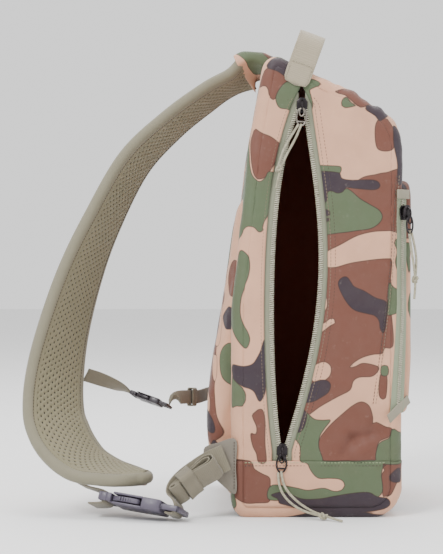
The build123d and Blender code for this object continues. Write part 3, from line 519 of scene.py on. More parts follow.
def paint_camo(obj, mirrored=True):
    """Store each vertex's distance to the patches of every ink, from its cloth place."""
    count = len(obj.data.vertices)
    flat = np.zeros(count * 3, np.float32)
    obj.data.attributes["cloth"].data.foreach_get("vector", flat)
    places = flat.reshape(-1, 3)[:, :2] / MM
    if mirrored:
        span = PRINT_HIGH - PRINT_LOW
        folded = np.mod(places - PRINT_LOW, 2 * span)
        places = PRINT_LOW + np.where(folded > span, 2 * span - folded, folded)
    for layer, patches in CAMO_PATCHES.items():
        nearest = np.full(count, PATCH_REACH)
        for patch in patches:
            outline = smooth_outline(patch)
            low = outline.min(0) - PATCH_REACH
            high = outline.max(0) + PATCH_REACH
            close = np.flatnonzero(((places > low) & (places < high)).all(1))
            if len(close):
                found = signed_distance(places[close], outline)
                nearest[close] = np.minimum(nearest[close], found)
        put_attribute(obj, layer, nearest * MM)


# ------------------------------------------------------------------ mesh helpers
def put_attribute(obj, name, values):
    """Write a number or a vector for each vertex."""
    values = np.asarray(values, np.float32)
    kind = "FLOAT" if values.ndim == 1 else "FLOAT_VECTOR"
    attribute = obj.data.attributes.get(name) or obj.data.attributes.new(name, kind, "POINT")
    attribute.data.foreach_set("value" if values.ndim == 1 else "vector", values.ravel())


def coordinates(obj):
    """Vertex places in millimetres."""
    flat = np.zeros(len(obj.data.vertices) * 3, np.float32)
    obj.data.vertices.foreach_get("co", flat)
    return flat.reshape(-1, 3).astype(float) / MM


def place_vertices(obj, places):
    """Move the vertices to places in millimetres."""
    obj.data.vertices.foreach_set("co", (places * MM).astype(np.float32).ravel())
    obj.data.update()


def lay_cloth(obj, flat):
    """Store each vertex's place on the flat cloth, given in millimetres."""
    flat = np.asarray(flat, float).reshape(-1, 2) * MM
    put_attribute(obj, "cloth", np.column_stack([flat, np.zeros(len(flat))]))


def build(name, places, faces, material, cloth=None):
    """Smooth mesh object from places in millimetres."""
    places = np.asarray(places, float).reshape(-1, 3)
    mesh = bpy.data.meshes.new(name)
    mesh.from_pydata((places * MM).tolist(), [], [list(map(int, face)) for face in faces])
    mesh.shade_smooth()
    mesh.materials.append(material)
    obj = add_object(name, mesh)
    if cloth is not None:
        lay_cloth(obj, cloth)
    return obj


def grid_faces(rows, columns, wrap=False, caps=False):
    """Quads of a grid; wrap joins the last column to the first, caps close both end rows."""
    faces = []
    for row in range(rows - 1):
        for column in range(columns if wrap else columns - 1):
            here = row * columns + column
            beside = row * columns + (column + 1) % columns
            faces.append((here, beside, beside + columns, here + columns))
    if caps:
        faces.append(range(columns - 1, -1, -1))
        faces.append(range((rows - 1) * columns, rows * columns))
    return faces


def settle(obj, *modifiers):
    """Apply modifiers, given as (kind, settings), keeping the attributes."""
    for kind, settings in modifiers:
        modifier = obj.modifiers.new(kind, kind)
        for key, value in settings.items():
            setattr(modifier, key, value)
    bpy.context.view_layer.update()
    evaluated = obj.evaluated_get(bpy.context.evaluated_depsgraph_get())
    mesh = bpy.data.meshes.new_from_object(evaluated, preserve_all_data_layers=True,
                                           depsgraph=bpy.context.evaluated_depsgraph_get())
    obj.modifiers.clear()
    obj.data = mesh
    mesh.shade_smooth()
    return obj


def thicken(obj, thickness, offset=-1.0):
    """Give a sheet its thickness, to one side of it or about its middle."""
    return settle(obj, ("SOLIDIFY", {"thickness": thickness * MM, "offset": offset}))


def joined(name, parts):
    """One mesh object out of several."""
    made = bmesh.new()
    for part in parts:
        made.from_mesh(part.data)
    mesh = bpy.data.meshes.new(name)
    made.to_mesh(mesh)
    made.free()
    mesh.shade_smooth()
    mesh.materials.append(parts[0].data.materials[0])
    obj = add_object(name, mesh)
    for part in parts:
        bpy.data.objects.remove(part)
    return obj


def fit(obj, body, slot, *nodes):
    """Put a finished piece on its body and hide the CAD nodes that it stands for; its slot is not used."""
    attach(obj, body)
    if nodes:
        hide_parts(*nodes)
    return obj


def ripple(places, size, seed=0.0):
    """Smooth noise from about -1 to 1 at each place, with wrinkles about size across."""
    shift = Vector((seed, seed * 1.7, seed * 0.6))
    return np.array([noise.noise(Vector(place) / size + shift) for place in places])


class Frame:
    """Where a section of a band lies: centre, width direction, normal, run direction."""

    def __init__(self, origin, x, z):
        self.o = Vector(origin)
        self.z = Vector(z).normalized()
        x = Vector(x)
        self.x = (x - self.z * x.dot(self.z)).normalized()
        self.y = self.z.cross(self.x)

    def point(self, x, y, z=0.0):
        return self.o + self.x * x + self.y * y + self.z * z


def run_at(route, index):
    """Direction of a route at one of its points."""
    return route[min(index + 1, len(route) - 1)] - route[max(index - 1, 0)]


def catmull(values, share):
    """Catmull-Rom value at a share, 0 to 1, of the way through evenly numbered values."""
    last = len(values) - 1
    at = min(max(share, 0.0), 1.0) * last
    index = min(int(at), last - 1)
    t = at - index
    near = [values[min(max(index + k, 0), last)] for k in (-1, 0, 1, 2)]
    p0, p1, p2, p3 = (np.asarray(value, float) for value in near)
    return 0.5 * (2 * p1 + (p2 - p0) * t + (2 * p0 - 5 * p1 + 4 * p2 - p3) * t ** 2
                  + (3 * p1 - p0 - 3 * p2 + p3) * t ** 3)


def band_frames(stations, spacing=3.0):
    """Close frames along a band given as (centre, width direction) pairs."""
    centres = [centre for centre, _ in stations]
    widths = [width for _, width in stations]
    length = sum((Vector(b) - Vector(a)).length for a, b in zip(centres, centres[1:]))
    count = max(int(length / spacing), 4) + 1
    shares = np.linspace(0, 1, count)
    route = [Vector(catmull(centres, share)) for share in shares]
    frames = []
    for index, share in enumerate(shares):
        frames.append(Frame(route[index], catmull(widths, share), run_at(route, index)))
    return frames


def sweep(name, frames, section, material, caps=True):
    """Closed section, as (x, y) pairs or a function of the share along, carried along frames."""
    places = []
    cloth = []
    run = 0.0
    for index, at in enumerate(frames):
        if index:
            run += (at.o - frames[index - 1].o).length
        ring = section(index / (len(frames) - 1)) if callable(section) else section
        around = 0.0
        for corner, (x, y) in enumerate(ring):
            if corner:
                around += ((x - ring[corner - 1][0]) ** 2 + (y - ring[corner - 1][1]) ** 2) ** 0.5
            places.append(at.point(x, y))
            cloth.append((run, around))
    return build(name, places, grid_faces(len(frames), len(ring), True, caps), material, cloth)


def webbing_section(width, thick):
    """Flat woven band with rounded selvedges."""
    half = width / 2
    edge = thick * 0.35
    lower = [(-half + edge, -thick / 2), (0, -thick / 2), (half - edge, -thick / 2), (half, -edge)]
    upper = [(half, edge), (half - edge, thick / 2), (0, thick / 2), (-half + edge, thick / 2)]
    return lower + upper + [(-half, edge), (-half, -edge)]


def ribbon(name, stations, width, thick, material, spacing=3.0):
    """Length of webbing along a band."""
    return sweep(name, band_frames(stations, spacing), webbing_section(width, thick), material)


def tube(name, route, radius, material, sides=8, closed=False):
    """Round wire through close points, given in millimetres."""
    route = [Vector(point) for point in route]
    count = len(route)
    frames = []
    across = Vector((0.31, 0.72, 0.62))     # any direction that no route here runs along
    for index in range(count):
        run = route[(index + 1) % count] - route[index - 1] if closed else run_at(route, index)
        frames.append(Frame(route[index], across, run))
        across = frames[-1].x
    turns = [2 * pi * side / sides for side in range(sides)]
    places = [at.point(radius * cos(turn), radius * sin(turn)) for at in frames for turn in turns]
    cloth = [(index * radius, turn * radius) for index in range(count) for turn in turns]
    faces = grid_faces(count, sides, True, not closed)
    if closed:
        last = (count - 1) * sides
        faces += [(last + k, last + (k + 1) % sides, (k + 1) % sides, k) for k in range(sides)]
    return build(name, places, faces, material, cloth)


EASED_ANGLE = radians(35)    # plates' edges sharper than this are bevelled
SHARP_ANGLE = radians(38)    # and shaded as sharp beyond this


def plate(name, at, outline, low, high, material, bevel=0.5, segments=2):
    """Outline in a frame's x and y, raised from low to high along its z, with eased edges."""
    count = len(outline)
    places = [at.o + at.x * x + at.y * y + at.z * level for level in (low, high) for x, y in outline]
    faces = [range(count - 1, -1, -1), range(count, 2 * count)]
    faces += [(k, (k + 1) % count, (k + 1) % count + count, k + count) for k in range(count)]
    obj = build(name, places, faces, material)
    if bevel:
        settle(obj, ("BEVEL", {"width": bevel * MM, "segments": segments, "limit_method": "ANGLE",
                               "angle_limit": EASED_ANGLE}))
    obj.data.set_sharp_from_angle(angle=SHARP_ANGLE)
    offset = coordinates(obj) - np.array(at.o)
    lay_cloth(obj, np.column_stack([offset @ np.array(at.x), offset @ np.array(at.y)]))
    return obj


def corner_arcs(half_x, half_y, radius, steps):
    """Rounded rectangle about the origin, anticlockwise from its +X side."""
    outline = []
    for side_x, side_y, start in ((1, 1, 0), (-1, 1, 90), (-1, -1, 180), (1, -1, 270)):
        for angle in np.linspace(start, start + 90, steps):
            outline.append((side_x * (half_x - radius) + radius * cos(radians(angle)),
                            side_y * (half_y - radius) + radius * sin(radians(angle))))
    return outline


def box_outline(x0, x1, y0, y1):
    """Rectangle, anticlockwise."""
    return [(x0, y0), (x1, y0), (x1, y1), (x0, y1)]


# One stitch: (place along its half length, width, rise) of each ring, and (across, up) round a ring.
STITCH_RINGS = [(-1.0, 0.45, 0.1), (-0.6, 1.0, 1.0), (0.6, 1.0, 1.0), (1.0, 0.45, 0.1)]
STITCH_SECTION = [(-1, -0.6), (-0.7, 0.55), (0, 1.0), (0.7, 0.55), (1, -0.6)]


def stitches(name, route, normal, material, pitch=3.2, length=2.3, radius=0.32):
    """Lockstitch run along a route: short raised stitches with gaps between them."""
    route = [Vector(point) for point in route]
    normal = Vector(normal).normalized()
    lengths = np.cumsum([0.0] + [(b - a).length for a, b in zip(route, route[1:])])
    flat = np.array(route)
    places = []
    faces = []
    for step in range(int(lengths[-1] / pitch)):
        ends = []
        for at in (step * pitch, step * pitch + length):
            ends.append(Vector([np.interp(at, lengths, flat[:, axis]) for axis in range(3)]))
        run = (ends[1] - ends[0]).normalized()
        side = run.cross(normal) * radius
        middle = (ends[0] + ends[1]) / 2
        half = (ends[1] - ends[0]) / 2
        first = len(places)
        for share, width, rise in STITCH_RINGS:
            centre = middle + half * share
            for dx, dz in STITCH_SECTION:
                places.append(centre + side * (dx * width) + normal * (radius * dz * rise))
        rings = grid_faces(len(STITCH_RINGS), len(STITCH_SECTION), True, True)
        faces += [tuple(first + k for k in face) for face in rings]
    return build(name, places, faces, material, [(0, 0)] * len(places))


# ------------------------------------------------------------------ outline of the bag
ARC_STEP = 0.8
OUTLINE_STEP = 3.0


def rounded_outline(corners, spacing):
    """Even points round a filleted outline, with their outward normals."""
    dense = []
    count = len(corners)
    for index, (x, z, radius) in enumerate(corners):
        here = np.array([x, z], float)
        back = np.array(corners[index - 1][:2], float) - here
        ahead = np.array(corners[(index + 1) % count][:2], float) - here
        back /= np.linalg.norm(back)
        ahead /= np.linalg.norm(ahead)
        half = np.arccos(np.clip(back @ ahead, -1, 1)) / 2
        reach = radius / tan(half)
        middle = (back + ahead) / np.linalg.norm(back + ahead)
        centre = here + middle * radius / sin(half)
        start = here + back * reach - centre
        end = here + ahead * reach - centre
        turn = pi - 2 * half
        for share in np.linspace(0, 1, max(int(radius * turn / ARC_STEP), 4)):
            point = start * (1 - share) + end * share
            dense.append(centre + point / np.linalg.norm(point) * radius)
    dense = np.array(dense)
    loop = np.vstack([dense, dense[:1]])
    along = np.concatenate([[0], np.cumsum(np.linalg.norm(np.diff(loop, axis=0), axis=1))])
    total = ceil(along[-1] / spacing)
    at = np.linspace(0, along[-1], total, endpoint=False)
    even = np.column_stack([np.interp(at, along, loop[:, 0]), np.interp(at, along, loop[:, 1])])
    run = np.roll(even, -1, 0) - np.roll(even, 1, 0)
    run /= np.linalg.norm(run, axis=1)[:, None]
    normals = np.column_stack([run[:, 1], -run[:, 0]])
    return even, normals


OUTLINE_POINTS, OUTLINE_NORMALS = rounded_outline(BODY_CORNERS, OUTLINE_STEP)


def side_span(z, inset=EDGE_ROUND):
    """Rear and front x of the side face at height z."""
    ring = OUTLINE_POINTS - OUTLINE_NORMALS * inset
    after = np.roll(ring, -1, 0)
    crosses = (ring[:, 1] > z) != (after[:, 1] > z)
    a, b = ring[crosses], after[crosses]
    x = a[:, 0] + (z - a[:, 1]) * (b[:, 0] - a[:, 0]) / (b[:, 1] - a[:, 1])
    return x.min(), x.max()


def span_rear(z):
    return side_span(z)[0]


def span_front(z):
    return side_span(z)[1]


def curve_through(points):
    """x as a smooth function of z through five points, held level past both ends."""
    x, z = np.array(points, float).T
    fitted = np.polyfit(z - z.mean(), x, len(points) - 1)
    return lambda height: np.polyval(fitted, np.clip(height, z.min(), z.max()) - z.mean())


CHAIN_X = {-1: curve_through(SLIT_REAR), 1: curve_through(SLIT_FRONT)}   # rear and front side
CHAIN_TRAVEL = {-1: REAR_TRAVEL, 1: FRONT_TRAVEL}
SEAM_GAP = 0.15              # half the gap between the two panels where they meet above the slit


def chord_x(z):
    """x of the closed zip at height z."""
    slope = (SLIT_TOP[0] - SLIT_FOOT[0]) / (SLIT_TOP[1] - SLIT_FOOT[1])
    return SLIT_FOOT[0] + (z - SLIT_FOOT[1]) * slope


def slit_edge(z, side, margin):
    """x of a cloth edge beside the slit: side is -1 for the rear and 1 for the front."""
    open_edge = CHAIN_X[side](z) + side * margin
    share = np.clip((z - SLIT_TOP[1]) / (SLIT_CLOSE_Z - SLIT_TOP[1]), 0, 1)
    return open_edge * (1 - share) + (SLIT_TOP[0] + side * SEAM_GAP) * share


def beside_slit(side, margin):
    """Edge beside the slit as a function of height, kept within the side face."""
    return lambda z: min(slit_edge(z, side, margin), span_front(z))


SPAN_HEIGHTS = np.linspace(BOOT_HEIGHT - 1, SLIT_CLOSE_Z, 80)
SEAM_X = {-1: [span_rear(z) for z in SPAN_HEIGHTS], 1: [span_front(z) for z in SPAN_HEIGHTS]}
CLOSING_REACH = 70.0         # how far from the zip the side panel gives as it closes
STIFF_EDGE = 13.0            # cloth this near its chain takes the chain's whole travel
SEAM_REST = 3.0              # cloth this near the panel's outer seam stays with the bag
FOOT_FADE = 12.0             # the travel dies away over these heights at the slit's foot and head
HEAD_FADE = 18.0


def closing_share(places, side):
    """Share of its chain's travel that cloth at each place takes as the zip closes."""
    x, z = places[:, 0], places[:, 2]
    chain = CHAIN_X[side](z)
    gap = np.abs(chord_x(z) - chain) - CHAIN_HALF
    share = np.clip(gap / CHAIN_TRAVEL[side], 0, 1)
    share *= np.clip((z - BOOT_HEIGHT) / FOOT_FADE, 0, 1)
    share *= np.clip((SLIT_CLOSE_Z - z) / HEAD_FADE, 0, 1)
    seam = np.interp(z, SPAN_HEIGHTS, SEAM_X[side])
    reach = np.clip(np.abs(seam - chain) - STIFF_EDGE - SEAM_REST, 4, CLOSING_REACH)
    far = np.clip((side * (x - chain) - STIFF_EDGE) / reach, 0, 1)
    return share * (1 - far * far * (3 - 2 * far))


def follow_chain(obj, side, slot, *nodes):
    """Let a piece of cloth bend between the bag and one zip chain."""
    body = "rear_chain" if side < 0 else "front_chain"
    middle = Vector((chord_x(220.0), -HALF_WIDTH, 220.0)) * MM
    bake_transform(obj, "bag", body, start=middle + Vector((side * 0.07, 0, 0)), end=middle)
    put_attribute(obj, "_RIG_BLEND", closing_share(coordinates(obj), side))
    if nodes:
        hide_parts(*nodes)
    return obj


# ------------------------------------------------------------------ bag body
# Folds in the near side, as two ends in x and z, how far the cloth moves out, and half width.
FOLDS = [
    ((66, 78), (42, 74), -2.4, 5.0), ((42, 74), (34, 60), -1.6, 5.0), ((60, 70), (46, 58), 1.6, 6.0),
    ((62, 92), (58, 76), -1.4, 4.0), ((12, 398), (24, 368), -1.2, 5.0), ((34, 388), (50, 360), 1.0, 7.0),
    ((50, 382), (58, 368), -1.2, 4.0), ((70, 330), (46, 300), 0.8, 9.0), ((22, 150), (52, 118), -1.0, 8.0),
    ((-62, 210), (-44, 190), 0.8, 7.0), ((-60, 100), (-44, 70), 0.7, 7.0), ((10, 190), (52, 205), 0.8, 9.0),
]


def fold_rise(x, z):
    """How far the folds lift the near side at each place."""
    rise = np.zeros(len(x))
    for (ax, az), (bx, bz), height, width in FOLDS:
        run = np.array([bx - ax, bz - az], float)
        offset = np.column_stack([x - ax, z - az])
        share = np.clip(offset @ run / (run @ run), 0, 1)
        away = np.linalg.norm(offset - share[:, None] * run, axis=1)
        rise += height * np.exp(-(away / width) ** 2)
    return rise


def side_rows(low, high, left, right, columns, spacing=3.0):
    """Grid of x and z between two edges that depend on height."""
    heights = np.linspace(low, high, ceil((high - low) / spacing) + 1)
    shares = np.linspace(0, 1, columns)
    rows = []
    for z in heights:
        start, end = left(z), right(z)
        for share in shares:
            rows.append((start + max(end - start, 0.0) * share, z))
    return np.array(rows), len(heights)


def crowned(columns, rows, power):
    """Rise of a stuffed panel over its grid, from 0 at its sides to 1 along its middle."""
    return np.clip(np.sin(pi * np.tile(np.linspace(0, 1, columns), rows)), 0, 1) ** power


PANEL_THICK = 1.1
SIDE_FACE = OUTLINE_POINTS - OUTLINE_NORMALS * EDGE_ROUND
SIDE_TOP = SIDE_FACE[:, 1].max()
SIDE_FLOOR = SIDE_FACE[:, 1].min()


def near_panel(name, side, columns):
    """Near side panel on one side of the zip, lightly stuffed, with its folds and puckered seams."""
    if side < 0:
        edges = span_rear, beside_slit(side, REAR_MARGIN)
    else:
        edges = beside_slit(side, FRONT_MARGIN), span_front
    flat, rows = side_rows(BOOT_HEIGHT - 1, SIDE_TOP - 0.2, *edges, columns, 2.4)
    x, z = flat.T
    share = np.tile(np.linspace(0, 1, columns), rows)
    from_slit = share if side > 0 else 1 - share
    seam = np.minimum((1 - share if side > 0 else share) * 14, 1)
    off_slit = np.clip((side * (x - CHAIN_X[side](z)) - 8) / 30, 0, 1)
    soft = ripple(np.column_stack([x, z * 0.7, x * 0]), 30, 3.1)
    rise = crowned(columns, rows, 0.7) * (0.5 + off_slit * (0.7 + 1.5 * fold_rise(x, z) + 1.3 * soft))
    pucker = ripple(np.column_stack([x, z, x * 0]), 6.5, 9.4) * (1 - seam) * 1.3
    turned_in = (from_slit < 0.02) * 0.7
    y = -HALF_WIDTH - rise - pucker + turned_in
    panel = build(name, np.column_stack([x, y, z]), grid_faces(rows, columns), CAMO, flat)
    return thicken(panel, PANEL_THICK, 1.0)


rear_panel = near_panel("side_panel_rear", -1, 22)
front_panel = near_panel("side_panel_front", 1, 46)
for panel in (rear_panel, front_panel):
    paint_camo(panel, mirrored=False)
follow_chain(rear_panel, -1, "camo_fabric", "rear_side_panel")
follow_chain(front_panel, 1, "camo_fabric", "front_side_panel", "pocket_gusset")


def far_panel():
    """Far side panel, plain and lightly stuffed."""
    columns = 40
    flat, rows = side_rows(BOOT_HEIGHT - 1, SIDE_TOP - 0.2, span_rear, span_front, columns)
    x, z = flat.T
    soft = ripple(np.column_stack([x, z, x * 0]), 40, 5.5)
    y = HALF_WIDTH + crowned(columns, rows, 0.7) * (1.5 + soft)
    panel = build("side_panel_far", np.column_stack([x, y, z]), grid_faces(rows, columns), CAMO,
                  np.column_stack([-x - 150, z + 60]))
    paint_camo(thicken(panel, PANEL_THICK))
    return fit(panel, "bag", "camo_fabric", "far_side_panel")


far_panel()

SEAM_ALLOWANCE = 4.0


def band_sections():
    """(inset from the outline, y) from the near side's seam round to the far side's."""
    corner = [(EDGE_ROUND + SEAM_ALLOWANCE, 1.4), (EDGE_ROUND, 0.25)]
    for angle in np.linspace(8, 90, 8):
        turn = radians(angle)
        corner.append((EDGE_ROUND * (1 - sin(turn)), EDGE_ROUND * (1 - cos(turn))))
    near = [(inset, -HALF_WIDTH + depth) for inset, depth in corner]
    middle = [(0.0, y) for y in np.linspace(-100, 100, 50)]
    far = [(inset, -y) for inset, y in reversed(near)]
    return near + middle + far


def near_edge_run(inset, y):
    """Cloth distance from the nearer side seam to a place on the band."""
    across = HALF_WIDTH - abs(y)
    if across < 0.3:
        return EDGE_ROUND - inset
    if inset > 0:
        return EDGE_ROUND * np.arcsin(min(1 - inset / EDGE_ROUND, 1.0))
    return EDGE_ROUND * (pi / 2 - 1) + across


PRINT_SLANT_FROM = -60.0     # from this y on, the print runs aslant across the band
GATHER_FROM = (8.0, 345.0)   # x and z past which the top front corner is gathered


def body_band(name, keep, grow):
    """The part of the wrap-round band whose outline heights satisfy keep."""
    kept = [index for index in range(len(OUTLINE_POINTS)) if keep(OUTLINE_POINTS[index][1])]
    breaks = [k for k in range(1, len(kept)) if kept[k] != kept[k - 1] + 1]
    if breaks:
        kept = kept[breaks[-1]:] + kept[:breaks[-1]]
    sections = band_sections()
    places = []
    cloth = []
    for index in kept:
        point = OUTLINE_POINTS[index]
        normal = OUTLINE_NORMALS[index]
        for inset, y in sections:
            at = point - normal * (inset - grow)
            places.append((at[0], y, at[1]))
            spread = point - normal * EDGE_ROUND + normal * near_edge_run(inset, y)
            slant = max(0.0, y - PRINT_SLANT_FROM)
            cloth.append((spread[0] + 0.5 * slant, spread[1] + 0.9 * slant))
    places = np.array(places)
    normals = np.repeat(OUTLINE_NORMALS[kept], len(sections), 0)
    insets = np.tile([inset for inset, _ in sections], len(kept))
    gather = np.clip((places[:, 2] - GATHER_FROM[1]) / 25, 0, 1)
    gather *= np.clip((places[:, 0] - GATHER_FROM[0]) / 20, 0, 1)
    soft = ripple(places, 38, 2.2) * 1.1
    fine = ripple(places * np.array([1.0, 0.25, 1.0]), 9.0, 7.7) * (0.35 + 2.3 * gather)
    rise = (soft + fine) * np.clip(1 - insets / (EDGE_ROUND + 2), 0, 1)
    places[:, 0] += normals[:, 0] * rise
    places[:, 2] += normals[:, 1] * rise
    places[:, 2] = np.maximum(places[:, 2], 0.6)
    band = build(name, places, grid_faces(len(kept), len(sections)), CAMO, cloth)
    return thicken(band, PANEL_THICK, 1.0)


upper_band = body_band("bag_band", lambda z: z >= BOOT_HEIGHT - 2, 0.0)
paint_camo(upper_band)
fit(upper_band, "bag", "camo_fabric", "back_panel", "top_panel", "front_panel")
boot_band = body_band("bag_boot", lambda z: z <= BOOT_HEIGHT + 1, 0.7)
paint_camo(boot_band)
fit(boot_band, "bag", "camo_fabric", "bottom_boot")


def boot_side(name, y_side):
    """Side face of the boot, lapped over the panel above it."""
    columns = 46
    flat, rows = side_rows(SIDE_FLOOR + 0.3, BOOT_HEIGHT, span_rear, span_front, columns)
    x, z = flat.T
    soft = ripple(np.column_stack([x, z, x * 0]), 22, 1.4)
    rise = 0.6 + crowned(columns, rows, 0.6) * (0.3 + 0.6 * soft)
    y = y_side * (HALF_WIDTH + rise)
    side = build(name, np.column_stack([x, y, z]), grid_faces(rows, columns), CAMO, flat)
    thicken(side, PANEL_THICK, -y_side)
    paint_camo(side, mirrored=False)
    return fit(side, "bag", "camo_fabric")


boot_side("boot_side_near", -1)
boot_side("boot_side_far", 1)

# ------------------------------------------------------------------ lining
LINING_INSET = 4.0
LINING_MARGIN = 11.0         # how far the lining stays from the chains
LINING_Y = HALF_WIDTH - LINING_INSET


def lining_band():
    """Dark inner skin behind the walls."""
    rows = len(OUTLINE_POINTS)
    widths = [-LINING_Y, -100, 0, 100, LINING_Y]
    insets = [EDGE_ROUND, LINING_INSET, LINING_INSET, LINING_INSET, EDGE_ROUND]
    ring = []
    cloth = []
    for index in list(range(rows)) + [0]:
        for y, inset in zip(widths, insets):
            at = OUTLINE_POINTS[index] - OUTLINE_NORMALS[index] * inset
            ring.append((at[0], y, at[1]))
            cloth.append((y, index * OUTLINE_STEP))
    return build("lining_band", ring, grid_faces(rows + 1, len(widths)), LINING, cloth)


def lining_side(name, y, left, right):
    """Side wall of the lining between two edges that depend on height."""
    flat, rows = side_rows(SIDE_FLOOR, SIDE_TOP - 0.5, left, right, 10, 6.0)
    return build(name, np.column_stack([flat[:, 0], np.full(len(flat), y), flat[:, 1]]),
                 grid_faces(rows, 10), LINING, flat)


lining_parts = [
    lining_band(),
    lining_side("lining_far", LINING_Y, span_rear, span_front),
    lining_side("lining_rear", -LINING_Y, span_rear, beside_slit(-1, LINING_MARGIN)),
    lining_side("lining_front", -LINING_Y, beside_slit(1, LINING_MARGIN), span_front),
]
lining = thicken(joined("lining_skin", lining_parts), 0.6, 0.0)
fit(lining, "bag", "lining", "lining")

# ------------------------------------------------------------------ main zip
TAPE_Y = -112.6
TAPE_THICK = 0.6
TAPE_SPAN = (0.6, 14.0)      # from the chain's middle line out to the edge under the panel
TAPE_HEIGHTS = np.linspace(48.0, 396.0, 130)
COIL_PITCH = 2.0
COIL_STEPS = 10
COIL_FOOT = 52.0
COIL_TURNS = 168


def zip_tape(name, side, node):
    """Woven tape from under the panel's edge to the chain."""
    columns = 9
    rows = []
    cloth = []
    for z in TAPE_HEIGHTS:
        for away in np.linspace(*TAPE_SPAN, columns):
            lift = 0.9 * sin(pi * min(away / 9.0, 1.0))
            rows.append((CHAIN_X[side](z) + side * away, TAPE_Y - lift, z))
            cloth.append((z, away))
    tape = build(name, rows, grid_faces(len(TAPE_HEIGHTS), columns), TAPE, cloth)
    thicken(tape, TAPE_THICK, 0.0)
    return follow_chain(tape, side, "zip_tape", node)


def zip_coil(name, side, node):
    """Coiled monofilament teeth along the tape's free edge."""
    route = []
    for index in range(COIL_TURNS * COIL_STEPS + 1):
        z = COIL_FOOT + index / COIL_STEPS * COIL_PITCH
        angle = 2 * pi * index / COIL_STEPS
        x = CHAIN_X[side](z) + side * 0.3 + 1.9 * cos(angle)
        route.append((x, CHAIN_Y - 0.7 + 1.2 * sin(angle), z))
    coil = tube(name, route, 0.66, COIL, 5)
    return follow_chain(coil, side, "zip_coil", node)


zip_tape("zip_tape_rear", -1, "rear_zip_tape")
zip_tape("zip_tape_front", 1, "front_zip_tape")
zip_coil("zip_coil_rear", -1, "rear_zip_chain")
zip_coil("zip_coil_front", 1, "front_zip_chain")

for side, name, margin in ((-1, "rear", REAR_MARGIN), (1, "front", FRONT_MARGIN)):
    for away, thread in ((2.2, SEAM_THREAD), (6.5, DARK_THREAD)):
        line = [(slit_edge(z, side, margin + away), -HALF_WIDTH - 1.25, z)
                for z in np.linspace(BOOT_HEIGHT + 3, 392, 120)]
        run = stitches(f"slit_stitch_{name}_{int(away)}", line, (0, -1, 0), thread)
        follow_chain(run, side, "camo_fabric")


def slider(prefix, at, body):
    """Cast slider: two cheeked plates, nose post, and a bridge for the puller."""
    wide = 5.1
    long = 7.0
    shield = [(-wide * 0.62, -long), (wide * 0.62, -long), (wide, -long * 0.2), (wide, long * 0.5),
              (wide * 0.45, long), (-wide * 0.45, long), (-wide, long * 0.5), (-wide, -long * 0.2)]
    parts = [plate("top_plate", at, shield, 1.6, 3.0, SLIDER_METAL, 0.5),
             plate("under_plate", at, shield, -3.0, -1.6, SLIDER_METAL, 0.4),
             plate("post", at, box_outline(-0.9, 0.9, 3.4, 6.4), -1.7, 1.7, SLIDER_METAL, 0)]
    for edge in (-1, 1):
        cheek = [(edge * wide, -long * 0.55), (edge * (wide - 0.9), -long * 0.55),
                 (edge * (wide - 0.9), long * 0.4), (edge * wide, long * 0.4)]
        if edge < 0:
            cheek.reverse()
        parts.append(plate("cheek", at, cheek, 0.7, 2.2, SLIDER_METAL, 0.25))
    arch = [at.o + at.y * y + at.z * z for y, z in
            ((-5.2, 2.6), (-5.0, 4.6), (-3.6, 6.0), (-1.2, 6.4), (1.4, 6.0), (3.6, 4.6), (4.4, 2.6))]
    route = [Vector(catmull(arch, share)) for share in np.linspace(0, 1, 16)]
    parts.append(tube("bridge", route, 0.95, SLIDER_METAL, 8))
    return fit(joined(f"{prefix}_slider_body", parts), body, "zip_metal", f"{prefix}_slider")


def pull_ring(prefix, at, body, material):
    """Elongated wire ring hanging from the bridge, with a cross bar for the cord."""
    parts = []
    top = -2.6
    loop = []
    for index in range(40):
        angle = 2 * pi * index / 40
        y = top - 8.6 + 8.2 * cos(angle)
        width = 4.2 + 0.7 * (1 - cos(angle)) / 2
        loop.append(at.o + at.x * (width * sin(angle)) + at.y * y + at.z * 5.2)
    parts.append(tube("ring", loop, 0.85, material, 8, closed=True))
    bar = [at.o + at.x * x + at.y * (top - 13.2) + at.z * 5.2 for x in np.linspace(-3.8, 3.8, 5)]
    parts.append(tube("bar", bar, 0.8, material, 8))
    inner = []
    for index in range(28):
        angle = 2 * pi * index / 28
        y = top - 4.4 + 3.6 * cos(angle)
        inner.append(at.o + at.x * (2.2 * sin(angle)) + at.y * y + at.z * 5.6)
    parts.append(tube("eye", inner, 0.75, RING_METAL, 8, closed=True))
    return fit(joined(f"{prefix}_pull_ring", parts), body, "zip_metal", f"{prefix}_pull_tab")


CHORD = Vector((SLIT_TOP[0] - SLIT_FOOT[0], 0, SLIT_TOP[1] - SLIT_FOOT[1])).normalized()
CHORD_ACROSS = Vector((CHORD.z, 0, -CHORD.x))
upper_frame = Frame((SLIT_TOP[0], CHAIN_Y, SLIT_TOP[1]), CHORD_ACROSS, (0, -1, 0))
lower_frame = Frame((SLIT_FOOT[0], CHAIN_Y, SLIT_FOOT[1]), CHORD_ACROSS, (0, -1, 0))
pocket_frame = Frame((90.85, -112.85, 284.0), (1, 1, 0), (1, -1, 0))
for prefix, at, metal in (("upper", upper_frame, RING_METAL), ("lower", lower_frame, SLIDER_METAL),
                          ("pocket", pocket_frame, SLIDER_METAL)):
    slider(prefix, at, f"{prefix}_slider")
    pull_ring(prefix, at, f"{prefix}_pull", metal)

